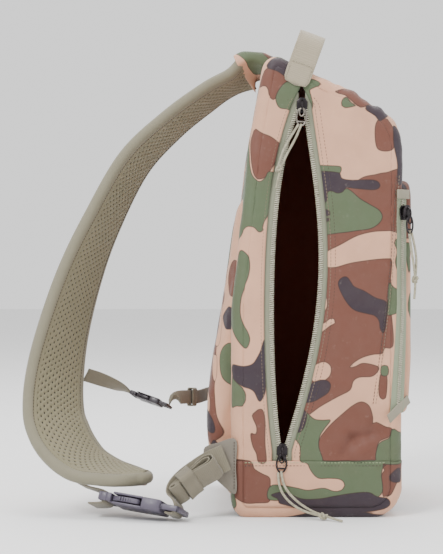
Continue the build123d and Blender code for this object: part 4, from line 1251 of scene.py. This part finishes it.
# ------------------------------------------------------------------ pull cords
PULLS = {
    "upper": {
        "through": [(-6.2, -117.4, 366.0), (-9.5, -118.3, 357.0), (-14.5, -118.6, 347.5),
                    (-20.0, -118.7, 337.5), (-24.6, -118.8, 327.5), (-27.6, -118.8, 317.0),
                    (-29.6, -118.6, 306.5)],
        "second": [(-9.0, -117.4, 365.5), (-13.8, -118.4, 358.0), (-19.2, -118.7, 349.0),
                   (-24.2, -118.8, 339.5), (-27.4, -118.8, 327.5)],
        "knot": ((-26.0, -118.9, 328.0), (-0.28, 0, -0.96)),
        "lengths": (0.065, 0.042),
    },
    "lower": {
        "through": [(-25.0, -117.6, 43.5), (-24.0, -119.2, 34.5), (-19.8, -121.2, 26.0),
                    (-13.0, -123.5, 18.5), (-4.5, -126.0, 12.2), (4.5, -128.8, 7.4),
                    (14.5, -132.2, 4.4), (23.0, -137.8, 2.4), (29.5, -144.0, 1.6)],
        "second": [(-27.8, -117.6, 42.5), (-27.6, -119.4, 32.5), (-23.6, -121.8, 22.6),
                   (-16.2, -124.4, 14.6), (-6.4, -127.2, 8.8), (3.4, -130.2, 6.0),
                   (13.0, -133.2, 4.2)],
        "knot": ((9.5, -131.2, 5.2), (0.92, -0.33, -0.2)),
        "lengths": (0.079, 0.060),
    },
    "pocket": {
        "through": [(94.0, -116.0, 267.0), (94.8, -117.4, 257.5), (96.2, -118.0, 247.0),
                    (97.9, -118.0, 236.0), (99.3, -117.6, 225.0), (99.6, -117.2, 214.0),
                    (98.6, -116.7, 203.5)],
        "second": [(96.2, -113.8, 267.0), (98.4, -115.2, 257.0), (100.2, -116.0, 246.5),
                   (100.9, -116.4, 236.0), (99.8, -116.2, 224.0)],
        "knot": ((99.4, -116.8, 226.0), (0, 0, -1)),
        "lengths": (0.064, 0.043),
    },
}


def cord_curve(name, points):
    """Round cord on one smooth spline through its route."""
    data = bpy.data.curves.new(name, "CURVE")
    data.dimensions = "3D"
    data.bevel_depth = CORD_DIAMETER / 2 * MM
    data.bevel_resolution = 4
    data.resolution_u = 10
    data.use_fill_caps = True
    spline = data.splines.new("NURBS")
    spline.points.add(len(points) - 1)
    for point, place in zip(spline.points, points):
        point.co = (*(Vector(place) * MM), 1.0)
    spline.order_u = 3
    spline.use_endpoint_u = True
    data.materials.append(CORD)
    return add_object(name, data)


def overhand_knot(name, top, direction):
    """Small overhand knot: the cord's own turns drawn up tight, as a trefoil."""
    along = Vector(direction).normalized()
    at = Frame(top, (0, 1, 0.1), along)
    route = []
    for angle in np.arange(72) * (2 * pi / 72):
        radius = 1.55 + 0.8 * cos(3 * angle)
        x = radius * cos(2 * angle)
        y = radius * sin(2 * angle)
        z = 4.0 + 2.3 * sin(3 * angle)
        route.append(at.point(x * 1.05, y, z + 0.5 * x))
    return tube(name, route, CORD_DIAMETER / 2, CORD, 10, closed=True)


for prefix, pull in PULLS.items():
    body = f"{prefix}_pull"
    knot = overhand_knot(f"{prefix}_cord_knot", *pull["knot"])
    fit(knot, body, "cord", f"{prefix}_pull_knot")
    through = cord_curve(f"{prefix}_cord_through", pull["through"])
    fit(through, body, "cord", f"{prefix}_pull_cord")
    second = cord_curve(f"{prefix}_cord_second", pull["second"])
    fit(second, body, "cord")

# ------------------------------------------------------------------ front pocket
POCKET_HALF = 104.0
POCKET_LOW = 95.0
POCKET_HIGH = 315.0
POCKET_FRONT = 97.0
POCKET_ROOT = 84.0
POCKET_CROWN = 2.6           # how far the filled front stands out in its middle


def rounded_rectangle(half_width, low, high, radius, steps=12):
    """Outline in y and z, with straight sides divided as well."""
    middle = (low + high) / 2
    arcs = corner_arcs(half_width, (high - low) / 2, radius, steps)
    outline = [(y, middle + z) for y, z in arcs]
    divided = []
    for a, b in zip(outline, outline[1:] + outline[:1]):
        length = ((a[0] - b[0]) ** 2 + (a[1] - b[1]) ** 2) ** 0.5
        count = max(int(length / 6), 1)
        for share in np.arange(count) / count:
            divided.append((a[0] + (b[0] - a[0]) * share, a[1] + (b[1] - a[1]) * share))
    return divided


def pocket():
    """Raised front pocket: short side walls, eased rim and a softly filled front."""
    levels = [(0.0, POCKET_ROOT), (0.0, 88.0), (0.2, 92.0), (1.2, 95.0), (3.0, 96.6), (6.0, 97.2)]
    for inset in range(10, 101, 5):
        levels.append((inset, POCKET_FRONT + POCKET_CROWN * sin(pi / 2 * (inset - 6) / 94)))
    places = []
    count = None
    for inset, x in levels:
        ring = rounded_rectangle(POCKET_HALF - inset, POCKET_LOW + inset, POCKET_HIGH - inset,
                                 max(18 - inset, 2.0))
        count = count or len(ring)
        shares = np.linspace(0, len(ring), count, endpoint=False)
        closed = np.array(ring + ring[:1])
        y = np.interp(shares, range(len(closed)), closed[:, 0])
        z = np.interp(shares, range(len(closed)), closed[:, 1])
        places += list(zip([x] * count, y, z))
    places = np.array(places)
    lean = np.clip((150 - places[:, 2]) / 60, 0, 1) * 3.4
    wrinkle = ripple(places * np.array([1, 1, 0.6]), 30, 4.2)
    places[:, 0] -= np.where(places[:, 0] > 90, lean, 0)
    places[:, 0] += wrinkle * np.clip((places[:, 0] - 92) / 5, 0, 1) * 1.2
    faces = grid_faces(len(levels), count, True)
    faces.append(range((len(levels) - 1) * count, len(levels) * count))
    shell = build("front_pocket_shell", places, faces, CAMO,
                  np.column_stack([-places[:, 1] - 20 - (places[:, 0] - 97), places[:, 2] + 4]))
    thicken(shell, 1.2, 0.0)
    paint_camo(shell)
    return fit(shell, "bag", "camo_fabric", "pocket_panel")


pocket()

# Pale strip that carries the pocket zip down the softened edge, drifting rearward at its foot.
POCKET_NORMAL = Vector((1, -1, 0)).normalized()
STRIP_BEND = 200.0           # the strip starts to drift below this height
STRIP_DRIFT = 5.0
POCKET_COIL_FOOT = 106.0
POCKET_COIL_TURNS = 95


def pocket_strip_frame(z, lift=0.0):
    """Frame of the pocket's zip strip at height z."""
    bent = np.clip((STRIP_BEND - z) / 100, 0, 1)
    drift = bent ** 1.3 * STRIP_DRIFT
    centre = Vector((87.6 - drift, -110.4 - 0.95 * drift, z)) + POCKET_NORMAL * lift
    across = Vector((1 + 0.5 * bent, 1 - 0.5 * bent, 0))
    return Frame(centre, across, (-0.075 * (z < STRIP_BEND), 0, 1))


strip_heights = np.linspace(97.5, 305.0, 70)
strip_frames = [pocket_strip_frame(z) for z in strip_heights]
strip_tape = sweep("pocket_zip_strip", strip_frames, webbing_section(13.0, 1.4), STRIP)
fit(strip_tape, "bag", "zip_tape", "pocket_zip_tape")
pocket_coil_route = []
for index in range(POCKET_COIL_TURNS * COIL_STEPS + 1):
    angle = 2 * pi * index / COIL_STEPS
    at = pocket_strip_frame(POCKET_COIL_FOOT + index / COIL_STEPS * COIL_PITCH, 1.3)
    pocket_coil_route.append(at.point(1.5 * cos(angle), -0.7 * sin(angle)))
pocket_coil = tube("pocket_zip_teeth", pocket_coil_route, 0.5, COIL, 5)
fit(pocket_coil, "bag", "zip_coil", "pocket_zip_coil")

tab_parts = []
for height, tilt, wide in ((301.2, 0.0, 17.0), (101.5, 0.42, 34.0)):
    at = pocket_strip_frame(height, 2.2)
    across = at.x * cos(tilt) + Vector((0, 0, 1)) * sin(tilt)
    face = Frame(at.o, across, POCKET_NORMAL)
    outline = box_outline(-wide / 2, wide / 2, -4.3, 4.3)
    tab_parts.append(plate("tab", face, outline, -0.8, 0.9, TAB_CLOTH, 0.4))
fit(joined("pocket_zip_end_tabs", tab_parts), "bag", "webbing", "pocket_zip_tabs")

GUSSET_SEAM = [(83, 330), (79, 268), (73, 200), (66, 146), (60, 104)]
gusset_x = curve_through(GUSSET_SEAM)
for away, thread in ((0.0, DARK_THREAD), (2.6, SEAM_THREAD)):
    seam = [(gusset_x(z) + away, -HALF_WIDTH - 2.1, z) for z in np.linspace(106, 322, 80)]
    fit(stitches(f"gusset_stitch_{int(away)}", seam, (0, -1, 0), thread), "bag", "camo_fabric")

# ------------------------------------------------------------------ seams of the boot
for drop, thread, name in ((1.6, GREEN_THREAD, "upper"), (4.4, DARK_THREAD, "lower")):
    z = BOOT_HEIGHT - drop
    low, high = side_span(z)
    line = [(x, -HALF_WIDTH - 1.9, z) for x in np.linspace(low + 1, high - 1, 60)]
    fit(stitches(f"boot_stitch_{name}", line, (0, -1, 0), thread), "bag", "camo_fabric")

# ------------------------------------------------------------------ back pad
PAD_CORNERS = [(-52, 288), (-60, 289), (-71, 214), (-87, 115), (-87, 60), (-81, 34), (-52, 25)]
PAD_HALF = 102.0
PAD_CHANNEL = 34.0           # the two sewn channels' distance from the middle
PAD_HEIGHTS = np.linspace(18, 300, 60)
PAD_BEDDING = 1.5            # how far the pad beds into the bag's back wall


def pad_mesh():
    """Closed starting shape of the back pad."""
    outline = smooth_outline(PAD_CORNERS, 4)
    columns = np.linspace(-PAD_HALF, PAD_HALF, 35)
    places = [(x, y, z) for y in columns for x, z in outline]
    faces = grid_faces(len(columns), len(outline), True, True)
    return build("back_pad", places, faces, CAMO)


def stuff(obj, voxel, pressure, cap):
    """Puff a closed mesh by cloth pressure, no point moving further than cap millimetres."""
    remesh = obj.modifiers.new("remesh", "REMESH")
    remesh.mode = "VOXEL"
    remesh.voxel_size = voxel * MM
    settle(obj)
    rest = coordinates(obj)
    cloth = obj.modifiers.new("cloth", "CLOTH")
    cloth.settings.use_pressure = True
    cloth.settings.uniform_pressure_force = pressure
    cloth.settings.effector_weights.gravity = 0
    cloth.settings.quality = 6
    cloth.point_cache.frame_start = 1
    cloth.point_cache.frame_end = 20
    for step in range(1, 21):
        bpy.context.scene.frame_set(step)
    settle(obj)
    bpy.context.scene.frame_set(1)
    moved = coordinates(obj) - rest
    reach = np.linalg.norm(moved, axis=1)
    kept = np.minimum(reach, cap) / np.maximum(reach, 1e-9)
    place_vertices(obj, rest + moved * kept[:, None])
    return obj


def back_pad():
    """Padded back panel: stuffed, then quilted by two sewn channels."""
    pad = pad_mesh()
    stuff(pad, 5.0, 4.0, 6.0)
    settle(pad, ("SUBSURF", {"levels": 1, "render_levels": 1}))
    places = coordinates(pad)
    outward = np.clip((-places[:, 0] - 62) / 10, 0, 1)
    for channel in (-PAD_CHANNEL, PAD_CHANNEL):
        groove = np.exp(-((places[:, 1] - channel) / 3.2) ** 2)
        places[:, 0] += groove * outward * 5.5
    places[:, 0] += ripple(places, 26, 6.1) * 0.8 * outward
    wall = np.interp(places[:, 2], PAD_HEIGHTS, [side_span(z, 0.0)[0] for z in PAD_HEIGHTS])
    places[:, 0] = np.minimum(places[:, 0], wall + PAD_BEDDING)
    place_vertices(pad, places)
    spread = places[:, 1] * 0.9 - places[:, 0] * 0.8 + 14
    lay_cloth(pad, np.column_stack([spread, places[:, 2] + 30]))
    paint_camo(pad)
    fit(pad, "bag", "camo_fabric", "back_pad_cover", "back_pad_foam")


back_pad()

# ------------------------------------------------------------------ shoulder strap
# Along the strap: x, y, z, the turn of its width about its run in degrees, and its width.
STRAP_STATIONS = [
    (-69.8, -2, 420.0, 78, 62), (-94.6, -5, 404.2, 76, 64), (-130.9, -9, 375.6, 74, 66),
    (-168.6, -14, 335.7, 70, 68), (-200.1, -20, 275.6, 66, 69), (-220.3, -27, 225.0, 60, 70),
    (-234.9, -36, 173.3, 54, 70), (-242.3, -46, 129.6, 47, 70), (-242.7, -57, 97.5, 45, 70),
    (-237.2, -67, 77.4, 48, 70), (-226.3, -77, 60.4, 57, 70), (-210.3, -87, 47.0, 68, 69),
    (-187.3, -95, 39.5, 80, 66), (-166.1, -101, 36.5, 86, 54), (-154.0, -104, 36.0, 88, 30),
]
STRAP_START = Vector((-53.38, -2.38, 429.52))
SWING = Vector((0.2975, 0.8943, -0.3342))      # axis of the strap's hinge


def strap_frames(spacing):
    """Close frames and widths along the strap, evenly spaced, hinge end first."""
    centres = [STRAP_START] + [Vector(station[:3]) for station in STRAP_STATIONS]
    widths = [60.0] + [station[4] for station in STRAP_STATIONS]
    across = [-SWING]
    for index, station in enumerate(STRAP_STATIONS, start=1):
        run = run_at(centres, index).normalized()
        outward = Vector((run.z, 0, -run.x)).normalized()
        turn = radians(station[3])
        across.append(outward * cos(turn) - Vector((0, sin(turn), 0)))
    lengths = [(b - a).length for a, b in zip(centres, centres[1:])]
    knots = np.concatenate([[0], np.cumsum(lengths)])
    count = ceil(knots[-1] / spacing) + 1
    frames = []
    chosen = []
    shares = np.interp(np.linspace(0, knots[-1], count), knots, np.linspace(0, 1, len(knots)))
    route = [Vector(catmull(centres, share)) for share in shares]
    for index, share in enumerate(shares):
        frames.append(Frame(route[index], catmull(across, share), run_at(route, index)))
        chosen.append(float(catmull(widths, share)))
    return frames, chosen


EDGE_ROLL = 9.0              # how far the binding reaches in from each edge
HALF_THICK = STRAP_THICK / 2


def strap_face(name, level, spacing, step, material, dented):
    """One face of the strap between its bindings: level is -1 for the mesh, 1 for the cover."""
    frames, widths = strap_frames(spacing)
    tip = frames[-1]
    frames.append(Frame(tip.o + tip.z * 3.0, tip.x, tip.z))
    widths.append(widths[-1] - 2.0)
    columns = ceil((70 - 2 * EDGE_ROLL + 3) / step) + 1
    places = []
    cloth = []
    hole = []
    for row, (at, width) in enumerate(zip(frames, widths)):
        half = width / 2 - EDGE_ROLL + 1.5
        for column in range(columns):
            share = 2 * column / (columns - 1) - 1
            x = share * half
            run = row * spacing
            crown = 1.5 * (1 - share * share) ** 0.6 if abs(share) < 1 else 0.0
            depth = 0.0
            if dented:
                lane = round(x / HOLE_COLUMN)
                shift = HOLE_ROW / 2 if lane % 2 else 0.0
                down = (run + shift) / HOLE_ROW
                away_x = x - lane * HOLE_COLUMN
                away_y = (down - round(down)) * HOLE_ROW
                away = (away_x ** 2 + (away_y * 0.8) ** 2) ** 0.5
                if abs(x) < half - 3.5:
                    depth = max(0.0, 1 - (away / (HOLE_RADIUS * 1.5)) ** 2)
            places.append(at.point(x, level * (HALF_THICK - 0.8 + crown - 0.9 * depth)))
            cloth.append((run, x))
            hole.append(depth)
    face = build(name, places, grid_faces(len(frames), columns), material, cloth)
    if dented:
        put_attribute(face, "hole", hole)
    thicken(face, 1.0, -1.0 if level > 0 else 1.0)
    return face


mesh_face = strap_face("strap_mesh_face", -1, 0.95, 0.85, MESH, True)
fit(mesh_face, "shoulder_strap", "mesh", "strap_mesh")
cover_face = strap_face("strap_cover_face", 1, 3.0, 2.5, CAMO, False)
paint_camo(cover_face)
fit(cover_face, "shoulder_strap", "camo_fabric", "strap_cover", "strap_foam")


def edge_roll():
    """Binding rolled over both edges of the strap and round its lower end."""
    frames, widths = strap_frames(3.0)
    outward = [(0.0, HALF_THICK - 0.6), (2.2, HALF_THICK + 0.2), (5.0, HALF_THICK),
               (7.4, HALF_THICK - 1.2), (8.8, 2.4), (9.2, 0.0), (8.8, -2.4), (7.4, -HALF_THICK + 1.2),
               (5.0, -HALF_THICK - 0.3), (2.2, -HALF_THICK - 0.5), (0.0, -HALF_THICK + 0.4), (2.0, 0.0)]
    halves = [width / 2 - EDGE_ROLL for width in widths]
    sections = [(at, half, 90.0) for at, half in zip(frames, halves)]
    sections += [(frames[-1], halves[-1], angle) for angle in np.linspace(75, -75, 9)]
    sections += [(at, half, -90.0) for at, half in zip(frames[::-1], halves[::-1])]
    places = []
    cloth = []
    for row, (at, half, angle) in enumerate(sections):
        turn = radians(angle)
        for out, level in outward:
            places.append(at.point((half + out) * sin(turn), level, out * cos(turn)))
            cloth.append((row * 3.0, out + level))
    faces = grid_faces(len(sections), len(outward), True, True)
    roll = build("strap_edge_roll", places, faces, BINDING, cloth)
    return fit(roll, "shoulder_strap", "binding", "strap_binding")


edge_roll()
stitch_frames, stitch_widths = strap_frames(3.0)
for edge in (-1, 1):
    for inset, level in ((1.9, 0.55), (-2.2, 0.0)):
        line = [at.point(edge * (width / 2 - EDGE_ROLL + inset), -HALF_THICK - level)
                for at, width in zip(stitch_frames[3:-4], stitch_widths[3:])]
        run = stitches(f"strap_stitch_{edge + 1}_{int(inset > 0)}", line, -stitch_frames[60].y,
                       DARK_THREAD, 3.0, 2.2, 0.36)
        fit(run, "shoulder_strap", "binding")

YOKE_ROUTE = [
    (STRAP_START + Vector((-0.886, 0.074, -0.458)) * 5.0, -SWING), (STRAP_START, -SWING),
    (Vector((-46, -1, 433.5)), Vector((0.12, -0.96, 0.2))),
    (Vector((-37, 0, 433.5)), Vector((0, -1, 0.06))), (Vector((-26, 0, 428.5)), Vector((0, -1, 0))),
]


def yoke():
    """Sewn camouflage root of the strap, from the top rear edge of the bag to the hinge line."""
    half = HALF_THICK + 2.0

    def section(share):
        depth = half + 5.0 * max(0.0, share - 0.3)
        lower = [(-32.4, 0), (-31.6, -depth * 0.7), (-29, -depth), (-15, -depth), (0, -depth),
                 (15, -depth), (29, -depth), (31.6, -depth * 0.7), (32.4, 0)]
        upper = [(31.6, half * 0.7), (29, half), (15, half + 0.6), (0, half + 0.8), (-15, half + 0.6),
                 (-29, half), (-31.6, half * 0.7)]
        return lower + upper

    root = sweep("strap_root", band_frames(YOKE_ROUTE, 2.0), section, CAMO)
    places = coordinates(root)
    lay_cloth(root, np.column_stack([places[:, 1] + 12, places[:, 0] + places[:, 2]]))
    settle(root, ("SUBSURF", {"levels": 1, "render_levels": 1}))
    paint_camo(root)
    return fit(root, "bag", "camo_fabric", "strap_yoke")


yoke()

# ------------------------------------------------------------------ haul handle
HANDLE_LEAN = radians(20)
HANDLE_UP = Vector((sin(HANDLE_LEAN), 0, cos(HANDLE_LEAN)))
HANDLE_FACE = Vector((cos(HANDLE_LEAN), 0, -sin(HANDLE_LEAN)))
HANDLE_PIVOT = Vector((-4.6, 0, 424.0))
HANDLE_LEG = 116.6
PATCH_DROP = 24.0


def haul_handle():
    """One length of webbing: sewn patch, leg, grip, leg, sewn patch."""
    corner = 20.0
    leg = [(-HANDLE_LEG - 1.2, -PATCH_DROP), (-HANDLE_LEG - 1.2, -PATCH_DROP / 2),
           (-HANDLE_LEG - 0.6, 2), (-HANDLE_LEG, 8)]
    for angle in np.linspace(180, 100, 10):
        y = corner - HANDLE_LEG + corner * cos(radians(angle))
        leg.append((y, 10 + corner * sin(radians(angle))))
    grip = [(y, 30 + 2.6 * cos(pi * y / 190)) for y in np.linspace(-86, 86, 30)]
    path = leg + grip + [(-y, rise) for y, rise in reversed(leg)]
    route = [HANDLE_PIVOT + Vector((0, y, 0)) + HANDLE_UP * rise for y, rise in path]
    frames = [Frame(place, HANDLE_FACE, run_at(route, index)) for index, place in enumerate(route)]
    section = webbing_section(WEBBING_WIDTH, 1.8)
    handle = sweep("haul_handle_webbing", frames, section, HANDLE_WEBBING)
    settle(handle, ("SUBSURF", {"levels": 1, "render_levels": 1}))
    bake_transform(handle, "bag", "haul_handle", start=(HANDLE_PIVOT - HANDLE_UP * 8) * MM,
             end=(HANDLE_PIVOT + HANDLE_UP * 14) * MM)
    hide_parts("haul_handle", "handle_anchors")


haul_handle()
patch_half = WEBBING_WIDTH / 2 - 2.2
for side, title in ((-1, "near"), (1, "far")):
    corners = [(-patch_half, -2.5), (patch_half, -2.5), (patch_half, -PATCH_DROP + 2.5),
               (-patch_half, -PATCH_DROP + 2.5), (-patch_half, -2.5)]
    outer = HANDLE_PIVOT + Vector((0, side * (HANDLE_LEG + 2.3), 0))
    route = []
    for (ax, az), (bx, bz) in zip(corners, corners[1:]):
        for share in np.linspace(0, 1, 6, endpoint=False):
            x = ax + (bx - ax) * share
            z = az + (bz - az) * share
            route.append(outer + HANDLE_FACE * x + HANDLE_UP * z)
    patch = stitches(f"handle_stitch_{title}", route, (0, side, 0), THREAD, 2.6, 1.9, 0.36)
    fit(patch, "bag", "handle_webbing")

# ------------------------------------------------------------------ side-release buckles
MAIN_FRAME = Frame((-152.2, -125.0, 13.4), (0.930153, -0.350397, -0.109715), (0.215218, 0.278204, 0.9361))
SMALL_FRAME = Frame((-151.8, 10.0, 99.4), (0.880852, -0.392111, -0.265234), (0.368243, 0.215464, 0.904418))
SMALL_SCALE = 0.54
ARM = [(-26.4, 9.0), (-26.4, 12.6), (-18, 15.6), (-7, 16.4), (-1, 15.2), (1, 13.0), (1, 11.0),
       (-6, 10.0), (-16, 9.2)]


def buckle(prefix, at, scale, plastic, slot):
    """Male frame and guide, its two arms, and the female half with its ladder."""
    def part(outline, low, high, bevel=0.9):
        return plate("part", at, [(x * scale, y * scale) for x, y in outline], low * scale, high * scale,
                     plastic, bevel * scale)

    def bar(x0, x1, y0, y1, low, high, bevel=0.9):
        return part(box_outline(x0, x1, y0, y1), low, high, bevel)

    male = [bar(-40.2, -36.9, -16, 16, -4, 4, 1.4), bar(-32.3, -27.2, -16, 16, -4, 4, 1.2),
            bar(-37.6, -31.8, -16, -12.6, -4, 4), bar(-37.6, -31.8, 12.6, 16, -4, 4),
            bar(-28.0, -2.0, -2.0, 2.0, -1.6, 1.6, 0.6)]
    fit(joined(f"{prefix}_male_half", male), "shoulder_strap", slot, f"{prefix}_male")
    for side, title in ((1, "far"), (-1, "near")):
        outline = [(x * scale, side * y * scale) for x, y in ARM]
        if side > 0:
            outline.reverse()
        pieces = [plate("arm", at, outline, -2.4 * scale, 2.4 * scale, plastic, 0.7 * scale, 3)]
        for rib in range(5):
            x = -18.5 + rib * 2.6
            low, high = sorted((side * 15.4, side * 16.9))
            pieces.append(bar(x, x + 1.2, low, high, -1.9, 1.9, 0.3))
        arm = f"{prefix}_{title}_arm"
        fit(joined(f"{prefix}_{title}_release", pieces), arm, slot, arm)
    mouth = [(-26, -15.5), (-24, -16.5), (4, -16.5), (4, 16.5), (-24, 16.5), (-26, 15.5)]
    rim = [(3.0, -16.5), (18, -16.2), (22, -14.5), (22, 14.5), (18, 16.2), (3.0, 16.5)]
    female = [part(mouth, 3.5, 5.5, 0.7), part(mouth, -5.5, -3.5, 0.7), part(rim, -5.5, 5.5, 1.8),
              bar(21.0, 24.8, -15, 15, -2.6, 2.6), bar(29.2, 32.8, -14, 14, -2.6, 2.6),
              bar(37.2, 40.0, -15, 15, -2.6, 2.6), bar(21.0, 40.0, -15, -13, -2.6, 2.6),
              bar(21.0, 40.0, 13, 15, -2.6, 2.6), bar(-24, 2, -3.0, 3.0, 5.2, 6.1, 0.35),
              bar(8, 16, -7, 7, 5.2, 6.0, 0.35)]
    fit(joined(f"{prefix}_female_half", female), "bag", slot, f"{prefix}_female")


buckle("main_buckle", MAIN_FRAME, 1.0, BUCKLE, "buckle")
buckle("small_buckle", SMALL_FRAME, SMALL_SCALE, SMALL_BUCKLE, "small_buckle")


# ------------------------------------------------------------------ webbing
def on_buckle(at, x, level):
    """Place on a buckle's middle line, x along it and level above it."""
    return at.o + at.x * x + at.z * level


tab_path = [(-66, 8.4), (-58, 7.2), (-50, 6.2), (-42, 5.9), (-36.4, 5.0), (-34.8, 2.4), (-34.8, -2.4),
            (-36.2, -5.2), (-42, -7.0), (-50, -8.4)]
tab = ribbon("strap_tab_webbing", [(on_buckle(MAIN_FRAME, x, level), MAIN_FRAME.y) for x, level in tab_path],
             WEBBING_WIDTH, 1.5, WEBBING, spacing=1.6)
fit(tab, "shoulder_strap", "webbing", "strap_tab")

small_bar = on_buckle(SMALL_FRAME, -52 * SMALL_SCALE, 0)
stabiliser = ribbon("stabiliser_band", [
    ((-215.5, -13, 126.5), (0.3, -0.3, 1)), ((-203, -2, 121.5), (0.2, -0.4, 1)),
    ((-188, 9, 114.5), (0, -0.8, 0.7)), (small_bar, -SMALL_FRAME.y)], 14.0, 1.6, WEBBING)
fit(stabiliser, "shoulder_strap", "webbing", "stabiliser_webbing")

BUNDLE = [
    (on_buckle(MAIN_FRAME, 26.5, -4.4), -MAIN_FRAME.y), (on_buckle(MAIN_FRAME, 33, -4.2), -MAIN_FRAME.y),
    (on_buckle(MAIN_FRAME, 35.4, 0.5), -MAIN_FRAME.y), (on_buckle(MAIN_FRAME, 33, 6.0), -MAIN_FRAME.y),
    ((-124.0, -132.0, 22.0), (-0.35, -0.75, 0.5)),
    ((-119.5, -131.6, 29.5), (-0.55, -0.3, 0.75)), ((-112.0, -129.6, 36.5), (-0.6, -0.05, 0.8)),
    ((-103.0, -126.8, 43.0), (-0.6, 0, 0.8)), ((-90, -122.8, 51.0), (-0.55, 0, 0.83)),
    ((-76, -121.4, 57.0), (-0.4, 0, 0.9)),
]
lower_band = ribbon("lower_band", BUNDLE, WEBBING_WIDTH, 1.8, WEBBING, spacing=1.8)
fit(lower_band, "bag", "webbing", "lower_webbing")

KEEPER_FRAME = Frame((-112.0, -129.6, 36.5), (-0.622311, -0.056589, 0.780722), (0.755056, 0.219653, 0.617773))
ROLL_FRAME = Frame(KEEPER_FRAME.o, (-0.45, -0.62, 0.64), KEEPER_FRAME.z)

# Turns of the spare webbing, as (height above the band, place along it).
ROLL_TURNS = [
    [(8.0, -8), (7.2, -14), (5.2, -18), (2.9, -15), (2.2, -8), (2.2, 0), (2.4, 9), (1.3, 17), (1.6, 25),
     (5.8, 30.5), (11.2, 29.5), (12.6, 23.5), (10.6, 15.5), (8.8, 8), (8.3, 0), (8.2, -6)],
    [(4.0, -15), (3.9, -6), (3.9, 2), (4.2, 10), (3.4, 17.5), (4.2, 24), (7.0, 27.2), (9.9, 25.2),
     (9.9, 20), (8.2, 13), (6.8, 6), (6.6, -4), (6.2, -13)],
    [(5.2, -12), (5.3, -2), (5.5, 8)],
]


def rolled_tail():
    """Spare webbing folded back on itself, with an open teardrop loop at its upper end."""
    parts = []
    for turns in ROLL_TURNS:
        stations = [(ROLL_FRAME.point(0, level, run), ROLL_FRAME.x) for level, run in turns]
        parts.append(ribbon("layer", stations, WEBBING_WIDTH - 1, 1.3, WEBBING, spacing=1.2))
    return fit(joined("rolled_webbing_tail", parts), "bag", "webbing", "webbing_tail")


rolled_tail()


def keeper(name, at, width, height, thick, length, centre, body, node):
    """Elastic sleeve round the webbing, as a rounded rectangular band twice its length long."""
    arcs = corner_arcs(width / 2, height / 2, min(height, width) * 0.3, 6)
    outline = [(x, centre + y) for x, y in arcs]
    stations = np.linspace(-length, length, 9)
    places = []
    cloth = []
    for run in stations:
        waist = 1 - 0.02 * cos(pi * run / length)
        for k, (x, y) in enumerate(outline):
            places.append(at.point(x * waist, y, run))
            cloth.append((k * 1.6, run))
    sleeve = build(name, places, grid_faces(len(stations), len(outline), True), WEBBING, cloth)
    thicken(sleeve, thick, -1.0)
    return fit(sleeve, body, "webbing", node)


keeper("webbing_sleeve", ROLL_FRAME, 30, 13.4, 1.0, 7, 3.9, "webbing_keeper", "webbing_keeper")

SMALL_KEEPER_FRAME = Frame((-111, 49, 99.5), (0, 0, 1), (10, 26, -2))
anchor_stations = [
    (on_buckle(SMALL_FRAME, 38 * SMALL_SCALE, 6.6), SMALL_FRAME.y), ((-123.5, 16, 101.5), (0.1, 0.7, 0.6)),
    ((-116, 36, 100.5), (0, 0.3, 1)), ((-106, 62, 98.5), (0, 0, 1)), ((-99.0, 88, 98.5), (0, 0, 1)),
    ((-94.5, 105, 98.5), (0, 0, 1)), ((-85.5, 116.8, 98.5), (0, 0, 1)),
]
anchor_band = ribbon("anchor_band", anchor_stations, 14.0, 1.6, WEBBING)
fit(anchor_band, "bag", "webbing", "anchor_webbing")
keeper("small_sleeve", SMALL_KEEPER_FRAME, 19, 7.0, 1.2, 5, 0.0, "small_keeper", "small_keeper")


def cloth_patch(name, corners, y, thick, material, slot, *nodes):
    """Flat sewn patch on a side face, given by its corners in x and z."""
    at = Frame((0, y, 0), (1, 0, 0), (0, -1, 0))
    outline = smooth_outline(corners, 5).tolist()
    if sum(a[0] * b[1] - b[0] * a[1] for a, b in zip(outline, outline[1:] + outline[:1])) < 0:
        outline.reverse()
    patch = plate(name, at, outline, 0, thick, material, 0.4)
    return fit(patch, "bag", slot, *nodes)


cloth_patch("side_wing_cloth", [(-97, 64), (-84, 70), (-67, 73), (-67, 48), (-67, 23), (-80, 31), (-92, 44)],
            -HALF_WIDTH - 0.8, 1.6, WING_CLOTH, "webbing", "side_wing")
wing_seam = [(-68.6, -HALF_WIDTH - 2.7, z) for z in np.linspace(71, 26, 24)]
fit(stitches("wing_stitch", wing_seam, (0, -1, 0), DARK_THREAD, 2.8, 2.0, 0.34), "bag", "webbing")
cloth_patch("far_anchor_cloth", [(-84, 90), (-66, 85), (-64, 98), (-66, 112), (-84, 107)],
            HALF_WIDTH + 2.8, 2.0, WING_CLOTH, "webbing", "webbing_anchor")

# ------------------------------------------------------------------ floor
FLOOR_HALF = 9000
square = box_outline(-FLOOR_HALF, FLOOR_HALF, -FLOOR_HALF, FLOOR_HALF)
floor = build("studio_floor", [(x, y, 0) for x, y in square], [(0, 1, 2, 3)], floor_material())
